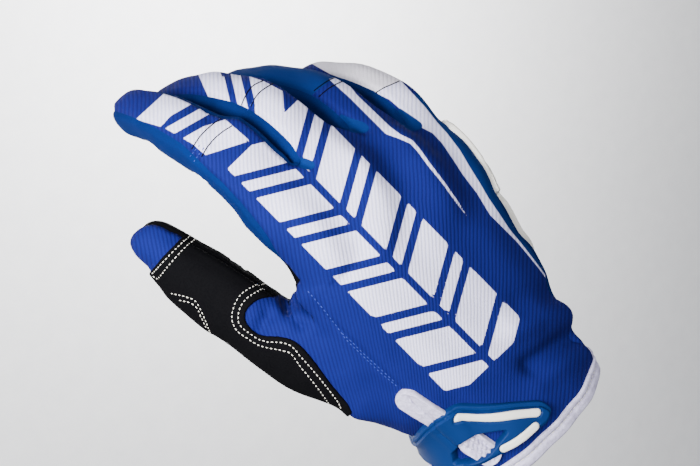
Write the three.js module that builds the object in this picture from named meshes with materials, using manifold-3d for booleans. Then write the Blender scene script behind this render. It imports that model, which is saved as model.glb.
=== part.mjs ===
// Motocross glove for the right hand, in the bent shape it has when worn: sewn cloth panels round a hollow.
// The origin is the centre of the cuff opening. +Y points to the fingers, +X to the little finger, and +Z
// away from the back of the hand. Sizes are millimetres and angles are degrees.
import * as THREE from "three";
import Module from "manifold-3d";

// Overall sizes
const PALM_LENGTH = 109;
const PALM_BREADTH = 88;
const PALM_DEPTH = 41;
const CUFF_WIDTH = 76;
const CUFF_DEPTH = 52;
const FINGER_LENGTH = 107;
const FINGER_WIDTH = 22;
const FINGER_DEPTH = 21;
const THUMB_LENGTH = 126;
const THUMB_WIDTH = 26.5;
const THUMB_DEPTH = 26;

// Cloth walls and the clearance between sewn pieces
const CLOTH_WALL = 1.3;
const PALM_WALL = 1.5;
const SEAM_GAP = 0.4;
const SHARPEST_CORNER = 0.25;

// Binding folded over the edge of the cuff
const BINDING_WIDTH = 5.5;
const BINDING_WALL = 0.9;

// Pieces sewn or moulded on the panels: their thickness, and the sizes of the closure
const WRAP_WALL = 0.9;
const GUARD_WALL = 2;
const TAB_WALL = 1.1;
const TAB_WIDTH = 9;
const FRAME_WALL = 3.4;
const INLAY_DEPTH = 1.2;
const INLAY_WIDTH = 3.2;
const STRAP_WALL = 1.6;
const STRAP_WIDTH = 22;

// Cross-sections of wrist and palm. along: share of the palm length, and slant: its change per length across;
// side and half: shares of the width;
// lift, top and sole: shares of the depth; thumbRim and outerRim: seams from straight up; palmRim: from down
const SECTIONS = [
  { width: CUFF_WIDTH, depth: CUFF_DEPTH, along: 0, slant: 0.07, side: 0, lift: 0, half: 0.5, top: 0.5, sole: 0.5,
    thumbRim: 62, outerRim: 62, palmRim: 62 },
  { width: CUFF_WIDTH, depth: CUFF_DEPTH, along: 0.11, slant: 0.04, side: 0, lift: 0.02, half: 0.474, top: 0.48, sole: 0.46,
    thumbRim: 62, outerRim: 62, palmRim: 60 },
  { width: PALM_BREADTH, depth: PALM_DEPTH, along: 0.24, slant: 0, side: -0.01, lift: 0.03, half: 0.426, top: 0.56,
    sole: 0.58, thumbRim: 60, outerRim: 62, palmRim: 48 },
  { width: PALM_BREADTH, depth: PALM_DEPTH, along: 0.46, slant: -0.05, side: -0.045, lift: 0.05, half: 0.477, top: 0.51,
    sole: 0.61, thumbRim: 63, outerRim: 60, palmRim: 40 },
  { width: PALM_BREADTH, depth: PALM_DEPTH, along: 0.735, slant: -0.15, side: -0.07, lift: 0.1, half: 0.484, top: 0.46,
    sole: 0.54, thumbRim: 85, outerRim: 58, palmRim: 42 },
];
const SECTION_SQUARENESS = 2.35;
const BACK_COLUMNS = 8;
const SIDE_COLUMNS = 2;
const THUMB_ROWS = [2, 3];
const WEB_ROW = 4;

// Fingers. side, reach and lift place the knuckle as shares of palm breadth, length and depth; size and
// girth scale the finger; bones, web: shares of its length; bend, spread, roll: the worn pose
const FINGERS = [
  { name: "index", side: -0.42, reach: 0.972, lift: 0.122, size: 0.916, girth: 1, knuckle: 0.97,
    bones: [0.469, 0.276, 0.255], web: 0.224, bend: [21, 32, 19], spread: -11.5, roll: 1.5 },
  { name: "middle", side: -0.168, reach: 1, lift: 0.195, size: 1, girth: 1.02, knuckle: 1,
    bones: [0.467, 0.29, 0.243], web: 0.234, bend: [32, 37, 24], spread: -2, roll: 14 },
  { name: "ring", side: 0.081, reach: 0.954, lift: 0.171, size: 0.953, girth: 0.96, knuckle: 0.94,
    bones: [0.461, 0.284, 0.255], web: 0.225, bend: [41.5, 27, 16], spread: 6.5, roll: 14 },
  { name: "little", side: 0.315, reach: 0.872, lift: -0.04, size: 0.766, girth: 0.87, knuckle: 0.8,
    bones: [0.451, 0.268, 0.281], web: 0.232, bend: [30, 30, 18], spread: 6, roll: 14 },
];
const THUMB = { name: "thumb", side: -0.295, reach: 0.239, lift: -0.122,
  bones: [0.4, 0.317, 0.283], bend: [0, 17.5, 2.5], out: 33, down: 12, roll: -48 };

// Half sizes of a finger at its web, two joints and nail, and of the thumb, as shares of width and depth
const FINGER_TAPER = [0.5, 0.475, 0.42, 0.358];
const THUMB_TAPER = [0.6, 0.5, 0.445, 0.352];
const NAIL_SHARE = 0.55;
const TIP_ROUNDING = 1.3;

// Rings along a finger and along the thumb: the bone that a ring is on and its share of that bone
const FINGER_RINGS = [
  { bone: 0, share: 0.3 }, { bone: 0, share: 0.9 }, { bone: 1, share: 0.3 }, { bone: 1, share: 0.8 },
  { bone: 2, share: 0.3 }, { bone: 2, share: 0.68 }, { bone: 2, share: 0.89 },
];
const THUMB_RINGS = [
  { bone: 0, share: 0.72 }, { bone: 0, share: 1 }, { bone: 1, share: 0.4 }, { bone: 1, share: 0.8 },
  { bone: 2, share: 0.2 }, { bone: 2, share: 0.58 }, { bone: 2, share: 0.86 },
];
const RING_ANGLES = [0, 48, 90, 132, 180, 228, 270, 312];

// How far each point of the thumb's first rings gives way to the web beside the index finger
const THUMB_WEB_BLEND = [
  [0.3, 0.7, 0.8, 0.9, 0.5, 0.5, 0.5, 0.5],
  [0, 0.8, 1, 0.8, 0.1, 0.15, 0.15, 0.1],
];

// Rings over the knuckles. along: distance from the joint over finger length; top and sole: heights over palm
// depth; settle: how far the ring keeps to the last section of the palm
const KNUCKLE_RINGS = [
  { along: -0.1, top: 0.427, sole: 0.463, settle: 0.6 },
  { along: 0, top: 0.402, sole: 0.439, settle: 0.3 },
  { along: 0.103, top: 0.34, sole: 0.354, settle: 0.05 },
];

// Length of each joint's curve to either side, and of the line before the first joint, over finger length
const JOINT_SOFTNESS = [0.112, 0.075, 0.056];
const ROOT_SHARE = 0.15;
const LINE_STEPS = 130;
const FIT_ROUNDS = 6;

const radians = THREE.MathUtils.degToRad;
const vector = (x, y, z) => new THREE.Vector3(x, y, z);

// Point of a rounded-square section at an angle from straight up, towards the positive side
function sectionPoint(angle, half, top, sole) {
  const power = 2 / SECTION_SQUARENESS;
  const s = Math.sin(radians(angle));
  const c = Math.cos(radians(angle));
  const height = c > 0 ? top : sole;
  return {
    across: half * Math.sign(s) * Math.abs(s) ** power,
    up: height * Math.sign(c) * Math.abs(c) ** power,
  };
}

// Centre line of a finger: straight from the root, then curved at each joint in the plane of heading and up
function bentLine(root, heading, up, length, bones, bends, rootLength) {
  const across = vector(0, 0, 0).crossVectors(heading, up).normalize();
  const joints = [0, bones[0], bones[0] + bones[1]].map((share) => share * length);
  const step = (length + rootLength) / LINE_STEPS;
  const point = root.clone().addScaledVector(heading, -rootLength);
  const stations = [];
  for (let i = 0; i <= LINE_STEPS; i++) {
    const s = i * step - rootLength;
    let angle = 0;
    joints.forEach((joint, j) => {
      const soft = JOINT_SOFTNESS[j] * length;
      angle += radians(bends[j]) * THREE.MathUtils.smoothstep(s, joint - soft, joint + soft);
    });
    const along = heading.clone().multiplyScalar(Math.cos(angle)).addScaledVector(up, -Math.sin(angle));
    if (i > 0) point.addScaledVector(along.clone().add(stations[i - 1].along), step / 2);
    const lift = up.clone().multiplyScalar(Math.cos(angle)).addScaledVector(heading, Math.sin(angle));
    stations.push({ point: point.clone(), along, up: lift });
  }
  const at = (s) => {
    const place = THREE.MathUtils.clamp((s + rootLength) / step, 0, LINE_STEPS);
    const low = Math.min(Math.floor(place), LINE_STEPS - 1);
    const mix = (key) => stations[low][key].clone().lerp(stations[low + 1][key], place - low);
    return { point: mix("point"), along: mix("along"), up: mix("up"), across };
  };
  return { at, length };
}

function fingerLine(finger) {
  const root = vector(finger.side * PALM_BREADTH, finger.reach * PALM_LENGTH, finger.lift * PALM_DEPTH);
  const length = finger.size * FINGER_LENGTH;
  const heading = vector(Math.sin(radians(finger.spread)), Math.cos(radians(finger.spread)), 0);
  const up = vector(0, 0, 1).applyAxisAngle(heading, radians(finger.roll));
  return bentLine(root, heading, up, length, finger.bones, finger.bend, ROOT_SHARE * length);
}

function thumbLine() {
  const root = vector(THUMB.side * PALM_BREADTH, THUMB.reach * PALM_LENGTH, THUMB.lift * PALM_DEPTH);
  const out = radians(THUMB.out);
  const down = radians(THUMB.down);
  const heading = vector(-Math.sin(out) * Math.cos(down), Math.cos(out) * Math.cos(down), -Math.sin(down));
  const up = vector(0, 0, 1).addScaledVector(heading, -heading.z).normalize();
  up.applyAxisAngle(heading, radians(THUMB.roll));
  return bentLine(root, heading, up, THUMB_LENGTH, THUMB.bones, THUMB.bend, 0);
}

// Half width and half depth of a finger at a distance along it, closing to a round tip
function girthAt(distance, length, marks, taper, width, depth) {
  let share = taper[taper.length - 1];
  if (distance <= marks[0]) share = taper[0];
  for (let i = 1; i < marks.length; i++) {
    if (distance > marks[i - 1] && distance <= marks[i]) {
      const t = (distance - marks[i - 1]) / (marks[i] - marks[i - 1]);
      share = THREE.MathUtils.lerp(taper[i - 1], taper[i], t);
    }
  }
  const round = taper[taper.length - 1] * width * TIP_ROUNDING;
  const past = THREE.MathUtils.clamp((distance - length + round) / round, 0, 1);
  const close = Math.sqrt(1 - past * past);
  return { half: share * width * close, deep: share * depth * close };
}

// Eight points round a centre line
function ringPoints(line, distance, half, top, sole) {
  const { point, up, across } = line.at(distance);
  return RING_ANGLES.map((angle) => {
    const place = sectionPoint(angle, half, top, sole);
    return point.clone().addScaledVector(across, place.across).addScaledVector(up, place.up);
  });
}

// Distances of the rings in a table, with the first bone counted from where the finger leaves the hand
function ringDistances(rings, start, bones, length) {
  const ends = [start, bones[0] * length, (bones[0] + bones[1]) * length, length];
  return rings.map((ring) => THREE.MathUtils.lerp(ends[ring.bone], ends[ring.bone + 1], ring.share));
}

// Coarse net of four-sided faces over the whole hand. A face keeps the name of its part and its column
function buildNet() {
  const points = [];
  const faces = [];
  const add = (list) => list.map((point) => points.push(point) - 1);
  const round = 2 * (BACK_COLUMNS + SIDE_COLUMNS);
  const thumbSide = [round - 2, round - 1];

  // Rings of wrist and palm, from the thumb-side seam over the back, round the outer side and under
  const rings = SECTIONS.map((section) => {
    const half = section.half * section.width;
    const top = section.top * section.depth;
    const sole = section.sole * section.depth;
    const back = [];
    const palm = [];
    for (let i = 0; i <= BACK_COLUMNS; i++) {
      back.push(THREE.MathUtils.lerp(-section.thumbRim, section.outerRim, i / BACK_COLUMNS));
      palm.push(THREE.MathUtils.lerp(180 - section.outerRim, 180 + section.palmRim, i / BACK_COLUMNS));
    }
    const outline = [...back, 90, ...palm, (540 + section.palmRim - section.thumbRim) / 2];
    return add(outline.map((angle) => {
      const place = sectionPoint(angle, half, top, sole);
      return vector(section.side * section.width + place.across,
        section.along * PALM_LENGTH + section.slant * place.across, section.lift * section.depth + place.up);
    }));
  });

  // Rings over the knuckles and at the webs, joined from the rings of the four fingers
  const lines = FINGERS.map(fingerLine);
  const joinRings = (four) => {
    const back = [];
    const sole = [];
    four.forEach((ring, i) => {
      if (i === 0) {
        back.push(ring[7]);
        sole.push(ring[5]);
      } else {
        back.push(back.pop().clone().add(ring[7]).multiplyScalar(0.5));
        sole.push(sole.pop().clone().add(ring[5]).multiplyScalar(0.5));
      }
      back.push(ring[0], ring[1]);
      sole.push(ring[4], ring[3]);
    });
    return [...back, four[3][2], ...sole.reverse(), four[0][6]];
  };
  const palmEnd = rings[rings.length - 1].map((index) => points[index]);
  for (const ring of KNUCKLE_RINGS) {
    const joined = joinRings(FINGERS.map((finger, i) => {
      const half = FINGER_TAPER[0] * FINGER_WIDTH * finger.girth;
      return ringPoints(lines[i], ring.along * FINGER_LENGTH, half, ring.top * PALM_DEPTH * finger.knuckle,
        ring.sole * PALM_DEPTH * finger.knuckle);
    }));
    rings.push(add(joined.map((point, column) => {
      const settled = vector(palmEnd[column].x, point.y, palmEnd[column].z);
      return point.lerp(settled, ring.settle);
    })));
  }
  const girth = (finger, line, distance) => {
    const marks = [finger.web, finger.bones[0], finger.bones[0] + finger.bones[1],
      1 - finger.bones[2] * (1 - NAIL_SHARE)].map((share) => share * line.length);
    const width = FINGER_WIDTH * finger.girth;
    const depth = FINGER_DEPTH * finger.girth;
    return girthAt(distance, line.length, marks, FINGER_TAPER, width, depth);
  };
  const webRings = FINGERS.map((finger, i) => {
    const distance = finger.web * lines[i].length;
    const size = girth(finger, lines[i], distance);
    return ringPoints(lines[i], distance, size.half, size.deep, size.deep);
  });
  const webLoop = add(joinRings(webRings));
  rings.push(webLoop);
  const forks = add([0, 1, 2].map((i) => webRings[i][2].clone().add(webRings[i + 1][6]).multiplyScalar(0.5)));

  // Faces of wrist and palm, leaving the hole that the thumb grows from
  for (let row = 0; row + 1 < rings.length; row++) {
    for (let column = 0; column < round; column++) {
      if (THUMB_ROWS.includes(row) && thumbSide.includes(column)) continue;
      const next = (column + 1) % round;
      const corners = [rings[row][column], rings[row][next], rings[row + 1][next], rings[row + 1][column]];
      faces.push({ corners, part: "hand", row, column });
    }
  }

  // A tube of rings that starts on a loop of eight points and ends in a cap of four faces
  const grow = (part, loop, tubeRings, tip) => {
    let last = loop;
    tubeRings.forEach((ringVectors, row) => {
      const ring = add(ringVectors);
      for (let column = 0; column < 8; column++) {
        const next = (column + 1) % 8;
        faces.push({ corners: [last[column], last[next], ring[next], ring[column]], part, row, column });
      }
      last = ring;
    });
    const [end] = add([tip]);
    const row = tubeRings.length;
    faces.push({ corners: [last[7], last[0], end, last[6]], part, row, column: 7 });
    faces.push({ corners: [last[0], last[1], last[2], end], part, row, column: 0 });
    faces.push({ corners: [end, last[2], last[3], last[4]], part, row, column: 3 });
    faces.push({ corners: [last[6], end, last[4], last[5]], part, row, column: 4 });
  };
  FINGERS.forEach((finger, i) => {
    const fingerAxis = lines[i];
    const outer = i === 3 ? webLoop[BACK_COLUMNS + 1] : forks[i];
    const inner = i === 0 ? webLoop[round - 1] : forks[i - 1];
    const sole = round - SIDE_COLUMNS - 2 * i;
    const loop = [webLoop[2 * i + 1], webLoop[2 * i + 2], outer, webLoop[sole - 2], webLoop[sole - 1],
      webLoop[sole], inner, webLoop[2 * i]];
    const leaves = finger.web * fingerAxis.length;
    const station = fingerAxis.at(leaves);
    const ahead = loop.map((index) => points[index].clone().sub(station.point).dot(station.along));
    const start = leaves + Math.max(...ahead);
    const distances = ringDistances(FINGER_RINGS, start, finger.bones, fingerAxis.length);
    grow(finger.name, loop, distances.map((distance) => {
      const size = girth(finger, fingerAxis, distance);
      return ringPoints(fingerAxis, distance, size.half, size.deep, size.deep);
    }), fingerAxis.at(fingerAxis.length).point);
  });
  const line = thumbLine();
  const marks = [THUMB.bones[0] * NAIL_SHARE, THUMB.bones[0], THUMB.bones[0] + THUMB.bones[1],
    1 - THUMB.bones[2] * (1 - NAIL_SHARE)].map((share) => share * THUMB_LENGTH);
  const [low, middle, high] = [rings[2], rings[3], rings[4]];
  const loop = [middle[0], high[0], high[round - 1], high[round - 2], middle[round - 2], low[round - 2],
    low[round - 1], low[0]];
  const tube = ringDistances(THUMB_RINGS, 0, THUMB.bones, THUMB_LENGTH).map((distance) => {
    const size = girthAt(distance, THUMB_LENGTH, marks, THUMB_TAPER, THUMB_WIDTH, THUMB_DEPTH);
    return ringPoints(line, distance, size.half, size.deep, size.deep);
  });
  THUMB_WEB_BLEND.forEach((blend, row) => tube[row].forEach((point, column) => {
    const past = tube[THUMB_WEB_BLEND.length][column];
    const web = points[loop[column]].clone().lerp(past, (row + 1) / (THUMB_WEB_BLEND.length + 1));
    point.lerp(web, blend[column]);
  }));
  grow(THUMB.name, loop, tube, line.at(THUMB_LENGTH).point);

  return dropLoosePoints({ points, faces });
}

function dropLoosePoints(net) {
  const used = [...new Set(net.faces.flatMap((face) => face.corners))].sort((a, b) => a - b);
  const place = new Map(used.map((old, index) => [old, index]));
  return {
    points: used.map((index) => net.points[index]),
    faces: net.faces.map((face) => ({ ...face, corners: face.corners.map((corner) => place.get(corner)) })),
  };
}

// Edges of a net, each with its two points and the faces beside it
function edgesOf(net) {
  const edges = new Map();
  net.faces.forEach((face, index) => {
    face.corners.forEach((a, i) => {
      const b = face.corners[(i + 1) % 4];
      const key = a < b ? `${a}_${b}` : `${b}_${a}`;
      if (!edges.has(key)) edges.set(key, { ends: [a, b], faces: [] });
      edges.get(key).faces.push(index);
    });
  });
  return edges;
}

// What surrounds each point: its edges, its faces' far corners and, on a free rim, its rim neighbours
function surroundings(net, edges) {
  const around = net.points.map(() => ({ edges: [], rim: [], far: [], faces: [] }));
  for (const edge of edges.values()) {
    const [a, b] = edge.ends;
    around[a].edges.push(b);
    around[b].edges.push(a);
    if (edge.faces.length === 1) {
      around[a].rim.push(b);
      around[b].rim.push(a);
    }
  }
  net.faces.forEach((face, index) => {
    face.corners.forEach((corner, i) => {
      around[corner].far.push(face.corners[(i + 2) % 4]);
      around[corner].faces.push(index);
    });
  });
  return around;
}

const sumOf = (points, list) => list.reduce((sum, index) => sum.add(points[index]), vector(0, 0, 0));

// Moves the net's points until the smooth surface passes through the places they started from
function fitNet(net) {
  const around = surroundings(net, edgesOf(net));
  const wanted = net.points.map((point) => point.clone());
  for (let round = 0; round < FIT_ROUNDS; round++) {
    const reached = net.points.map((point, index) => {
      const near = around[index];
      if (near.rim.length > 0) {
        return sumOf(net.points, near.rim).addScaledVector(point, 4).divideScalar(6);
      }
      const n = near.edges.length;
      return sumOf(net.points, near.edges).multiplyScalar(4).add(sumOf(net.points, near.far))
        .addScaledVector(point, n * n).divideScalar(n * (n + 5));
    });
    reached.forEach((place, index) => net.points[index].add(wanted[index]).sub(place));
  }
  return net;
}

// One step of smooth subdivision: every face becomes four, and points move towards their neighbours' mean
function refine(net) {
  const edges = edgesOf(net);
  const around = surroundings(net, edges);
  const middles = net.faces.map((face) => sumOf(net.points, face.corners).divideScalar(4));
  const points = net.points.map((point, index) => {
    const near = around[index];
    if (near.rim.length > 0) {
      return sumOf(net.points, near.rim).addScaledVector(point, 6).divideScalar(8);
    }
    const n = near.edges.length;
    const faceMean = sumOf(middles, near.faces).divideScalar(n);
    const edgeMean = sumOf(net.points, near.edges).addScaledVector(point, n).divideScalar(2 * n);
    return faceMean.addScaledVector(edgeMean, 2).addScaledVector(point, n - 3).divideScalar(n);
  });
  for (const edge of edges.values()) {
    const middle = sumOf(net.points, edge.ends);
    edge.index = points.length;
    if (edge.faces.length === 1) {
      points.push(middle.divideScalar(2));
    } else {
      points.push(middle.add(sumOf(middles, edge.faces)).divideScalar(4));
    }
  }
  const firstMiddle = points.length;
  points.push(...middles);
  const edgeIndex = (a, b) => edges.get(a < b ? `${a}_${b}` : `${b}_${a}`).index;
  const faces = net.faces.flatMap((face, index) => face.corners.map((corner, i) => {
    const next = edgeIndex(corner, face.corners[(i + 1) % 4]);
    const last = edgeIndex(face.corners[(i + 3) % 4], corner);
    return { ...face, corners: [corner, next, firstMiddle + index, last] };
  }));
  return { points, faces };
}

// Outward direction at every point of the net
function normalsOf(net) {
  const normals = net.points.map(() => vector(0, 0, 0));
  for (const face of net.faces) {
    const [a, b, c, d] = face.corners.map((corner) => net.points[corner]);
    const normal = c.clone().sub(a).cross(d.clone().sub(b));
    face.corners.forEach((corner) => normals[corner].add(normal));
  }
  return normals.map((normal) => normal.normalize());
}

// A closed wall over some faces of the net, between two heights above it. Its rim stands back by a distance
function wallOver(net, normals, faces, low, high, setBack) {
  const sides = new Map();
  for (const face of faces) {
    face.corners.forEach((a, i) => {
      const b = face.corners[(i + 1) % 4];
      if (!sides.delete(`${b}_${a}`)) sides.set(`${a}_${b}`, [a, b]);
    });
  }
  const shift = new Map();
  for (const [a, b] of sides.values()) {
    const along = net.points[b].clone().sub(net.points[a]).normalize();
    for (const corner of [a, b]) {
      const inward = normals[corner].clone().cross(along).normalize();
      if (!shift.has(corner)) shift.set(corner, []);
      shift.get(corner).push(inward);
    }
  }
  const place = new Map();
  const positions = [];
  const corner = (index) => {
    if (place.has(index)) return place.get(index);
    const point = net.points[index].clone();
    const inward = shift.get(index);
    if (inward) {
      const mean = inward.reduce((sum, direction) => sum.add(direction), vector(0, 0, 0)).normalize();
      point.addScaledVector(mean, setBack / Math.max(mean.dot(inward[0]), SHARPEST_CORNER));
    }
    for (const height of [low, high]) {
      positions.push(...point.clone().addScaledVector(normals[index], height).toArray());
    }
    place.set(index, positions.length / 3 - 2);
    return place.get(index);
  };
  const triangles = [];
  for (const face of faces) {
    const [a, b, c, d] = face.corners.map(corner);
    triangles.push(a + 1, b + 1, c + 1, a + 1, c + 1, d + 1);
    triangles.push(a, c, b, a, d, c);
  }
  for (const [first, second] of sides.values()) {
    const a = corner(first);
    const b = corner(second);
    triangles.push(a, b, b + 1, a, b + 1, a + 1);
  }
  const geometry = new THREE.BufferGeometry();
  geometry.setAttribute("position", new THREE.Float32BufferAttribute(positions, 3));
  geometry.setIndex(triangles);
  return geometry;
}

// Solids for cutting and joining
const wasm = await Module();
wasm.setup();

function toSolid(geometry) {
  const vertProperties = new Float32Array(geometry.getAttribute("position").array);
  const triVerts = new Uint32Array(geometry.getIndex().array);
  return new wasm.Manifold(new wasm.Mesh({ numProp: 3, vertProperties, triVerts }));
}

function toGeometry(solid) {
  const mesh = solid.getMesh();
  const geometry = new THREE.BufferGeometry();
  geometry.setAttribute("position", new THREE.BufferAttribute(mesh.vertProperties, 3));
  geometry.setIndex(new THREE.BufferAttribute(mesh.triVerts, 1));
  return geometry;
}

// Straight prism over an outline given in a view: x across and y up the view, towards the viewer from near
function prism(view, outline, near, far) {
  const flat = THREE.ShapeUtils.isClockWise(outline) ? [...outline].reverse() : outline;
  const count = flat.length;
  const positions = [];
  for (const depth of [near, far]) {
    for (const corner of flat) {
      const point = view.origin.clone().addScaledVector(view.right, corner.x).addScaledVector(view.up, corner.y);
      positions.push(...point.addScaledVector(view.toward, depth).toArray());
    }
  }
  const triangles = [];
  for (const [a, b, c] of THREE.ShapeUtils.triangulateShape(flat, [])) {
    triangles.push(a, c, b, a + count, b + count, c + count);
  }
  for (let a = 0; a < count; a++) {
    const b = (a + 1) % count;
    triangles.push(a, b, b + count, a, b + count, a + count);
  }
  const geometry = new THREE.BufferGeometry();
  geometry.setAttribute("position", new THREE.Float32BufferAttribute(positions, 3));
  geometry.setIndex(triangles);
  return toSolid(geometry);
}

function viewAlong(origin, toward, up) {
  const facing = toward.clone().normalize();
  const right = up.clone().cross(facing).normalize();
  return { origin, toward: facing, right, up: facing.clone().cross(right) };
}

// Outline with each corner cut to a curve that stays inside its two sides
function roundedOutline(corners, radius, steps) {
  return corners.flatMap((corner, i) => {
    const before = corners[(i + corners.length - 1) % corners.length].clone().sub(corner);
    const after = corners[(i + 1) % corners.length].clone().sub(corner);
    const reach = Math.min(radius, before.length() * CORNER_SHARE, after.length() * CORNER_SHARE);
    const start = corner.clone().add(before.setLength(reach));
    const end = corner.clone().add(after.setLength(reach));
    const curve = new THREE.QuadraticBezierCurve(start, corner, end);
    return curve.getPoints(steps);
  });
}

const net = refine(fitNet(buildNet()));
const normals = normalsOf(net);
const facesOf = (test) => net.faces.filter(test);
const backEnd = BACK_COLUMNS;
const soleStart = BACK_COLUMNS + SIDE_COLUMNS;
const soleEnd = soleStart + BACK_COLUMNS;
const isFinger = (face) => FINGERS.some((finger) => finger.name === face.part);
const onTube = (face, part, columns) => face.part === part && columns.includes(face.column);
const handColumns = (face, from, to) => face.part === "hand" && face.column >= from && face.column < to;
const belowThumb = (face) => face.row < THUMB_ROWS[0];

// Faces of each sewn panel, its wall and its look
const PANELS = [
  { name: "back_panel", wall: CLOTH_WALL, look: "ribbed",
    test: (face) => handColumns(face, 0, backEnd) || (isFinger(face) && [0, 7].includes(face.column)) },
  { name: "palm_panel", wall: PALM_WALL, look: "black",
    test: (face) => handColumns(face, soleStart, soleEnd) || (isFinger(face) && [3, 4].includes(face.column))
      || (handColumns(face, soleEnd, soleEnd + 1) && face.row === WEB_ROW) },
  { name: "index_side_wall", wall: CLOTH_WALL, look: "plain",
    test: (face) => onTube(face, "index", [5, 6]) || (handColumns(face, soleEnd, soleEnd + 2) && face.row > WEB_ROW)
      || (handColumns(face, soleEnd + 1, soleEnd + 2) && face.row === WEB_ROW) },
  { name: "fourchette_index_middle", wall: CLOTH_WALL, look: "plain",
    test: (face) => onTube(face, "index", [1, 2]) || onTube(face, "middle", [5, 6]) },
  { name: "fourchette_middle_ring", wall: CLOTH_WALL, look: "plain",
    test: (face) => onTube(face, "middle", [1, 2]) || onTube(face, "ring", [5, 6]) },
  { name: "fourchette_ring_little", wall: CLOTH_WALL, look: "plain",
    test: (face) => onTube(face, "ring", [1, 2]) || onTube(face, "little", [5, 6]) },
  { name: "outer_side_panel", wall: CLOTH_WALL, look: "plain",
    test: (face) => onTube(face, "little", [1, 2]) || handColumns(face, backEnd, soleStart) },
  { name: "thumb_back", wall: CLOTH_WALL, look: "ribbed",
    test: (face) => onTube(face, "thumb", [6, 7, 0, 1])
      || (handColumns(face, soleEnd, soleEnd + 2) && belowThumb(face)) },
  { name: "thumb_palm", wall: PALM_WALL, look: "black",
    test: (face) => onTube(face, "thumb", [2, 3, 4, 5]) },
];

const LOOKS = {
  ribbed: { color: 0x1442a8, roughness: 0.75, metalness: 0 },
  plain: { color: 0x0a5ba6, roughness: 0.8, metalness: 0 },
  black: { color: 0x121116, roughness: 0.7, metalness: 0 },
  binding: { color: 0xcfcbd8, roughness: 0.85, metalness: 0 },
  whiteRubber: { color: 0xe8e6df, roughness: 0.45, metalness: 0 },
  blueRubber: { color: 0x0b55a0, roughness: 0.4, metalness: 0 },
};

// Inner edge of the black thumb wrap, round the blue tongue at the thumb's base. out: share of the thumb's
// width; along: share of its length, both from the first joint
const TONGUE_EDGE = [
  { out: 0.71, along: 0.124 }, { out: 0.57, along: 0.195 }, { out: 0.21, along: 0.243 },
  { out: -0.09, along: 0.211 }, { out: -0.07, along: 0.14 }, { out: 0.07, along: 0.044 },
  { out: -0.04, along: -0.011 }, { out: -0.46, along: -0.154 },
];
// Outer edge of the wrap: its straight end at the thumb's tip and a run outside the thumb
const WRAP_EDGE = [
  { out: -1.1, along: -0.2 }, { out: -1.1, along: 0.3 }, { out: -0.12, along: 0.536 }, { out: 1.16, along: 0.4 },
  { out: 1.16, along: 0.124 },
];
// Side guard, seen from the little finger's side. out: share of palm depth; along: share of palm length
const GUARD_EDGE = [
  { out: 0.2, along: 0.46 }, { out: 0.38, along: 0.49 }, { out: 0.46, along: 0.64 }, { out: 0.48, along: 0.92 },
  { out: 0.41, along: 1.03 }, { out: 0.26, along: 1.01 }, { out: 0.08, along: 0.88 }, { out: 0.05, along: 0.76 },
  { out: 0.15, along: 0.735 }, { out: 0.05, along: 0.71 }, { out: 0.06, along: 0.56 },
];
// Closure at the wrist, seen along its own direction. out: share of cuff width; along: share of palm length
const FRAME_EDGE = [
  { out: -0.6, along: 0.24 }, { out: -0.3, along: 0.27 }, { out: -0.185, along: 0.31 },
  { out: -0.12, along: 0.305 }, { out: 0.205, along: 0.145 }, { out: 0.228, along: 0.1 },
  { out: 0.19, along: 0.072 }, { out: -0.6, along: 0.072 },
];
const WINDOW_EDGE = [
  { out: -0.27, along: 0.13 }, { out: -0.12, along: 0.165 }, { out: 0.01, along: 0.145 },
  { out: -0.1, along: 0.105 }, { out: -0.25, along: 0.1 },
];
const INLAYS = [
  { name: "closure_inlay_long", from: { out: -0.15, along: 0.272 }, to: { out: 0.155, along: 0.128 } },
  { name: "closure_inlay_short", from: { out: 0.12, along: 0.094 }, to: { out: -0.03, along: 0.094 } },
];
const TAB_LINE = { from: { out: -0.3, along: 0.395 }, to: { out: -0.1, along: 0.09 } };
const CORNER_RADIUS = 3;
const CORNER_SHARE = 0.45;
const CURVE_STEPS = 3;

// Directions that the overlays are outlined from, and how far each outline reaches towards the viewer
const THUMB_FACING = vector(-0.31, 0.3, 0.9);
const GUARD_FACING = vector(0.95, 0, 0.3);
const CLOSURE_FACING = vector(-0.64, 0, 0.77);
const STRAP_JOINT = 0.2;
const STRAP_END = 0.15;
const GUARD_NEAR = 0.25;
const FAR = 400;

const placeOn = (row, width, length) => new THREE.Vector2(row.out * width, row.along * length);
const outlineOf = (rows, width, length) => rows.map((row) => placeOn(row, width, length));

// Strip between two places, with round ends
function stripOutline(from, to, width) {
  const along = to.clone().sub(from);
  const start = Math.atan2(along.y, along.x) + Math.PI / 2;
  const points = [];
  [from, to].forEach((end, side) => {
    for (let i = 0; i <= 2 * CURVE_STEPS; i++) {
      const angle = start + side * Math.PI + (i / (2 * CURVE_STEPS)) * Math.PI;
      points.push(new THREE.Vector2(end.x + Math.cos(angle) * width / 2, end.y + Math.sin(angle) * width / 2));
    }
  });
  return points;
}

const glove = new THREE.Group();

function addPiece(name, geometry, look) {
  const finished = geometry.toNonIndexed();
  finished.computeVertexNormals();
  const mesh = new THREE.Mesh(finished, new THREE.MeshStandardMaterial(LOOKS[look]));
  mesh.name = name;
  glove.add(mesh);
}

// Part of a wall that an outline cuts out, seen along a view
function cutWall(faces, low, high, view, outline, near, far) {
  const wall = toSolid(wallOver(net, normals, faces, low, high, 0));
  return wall.intersect(prism(view, outline, near, far));
}

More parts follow.
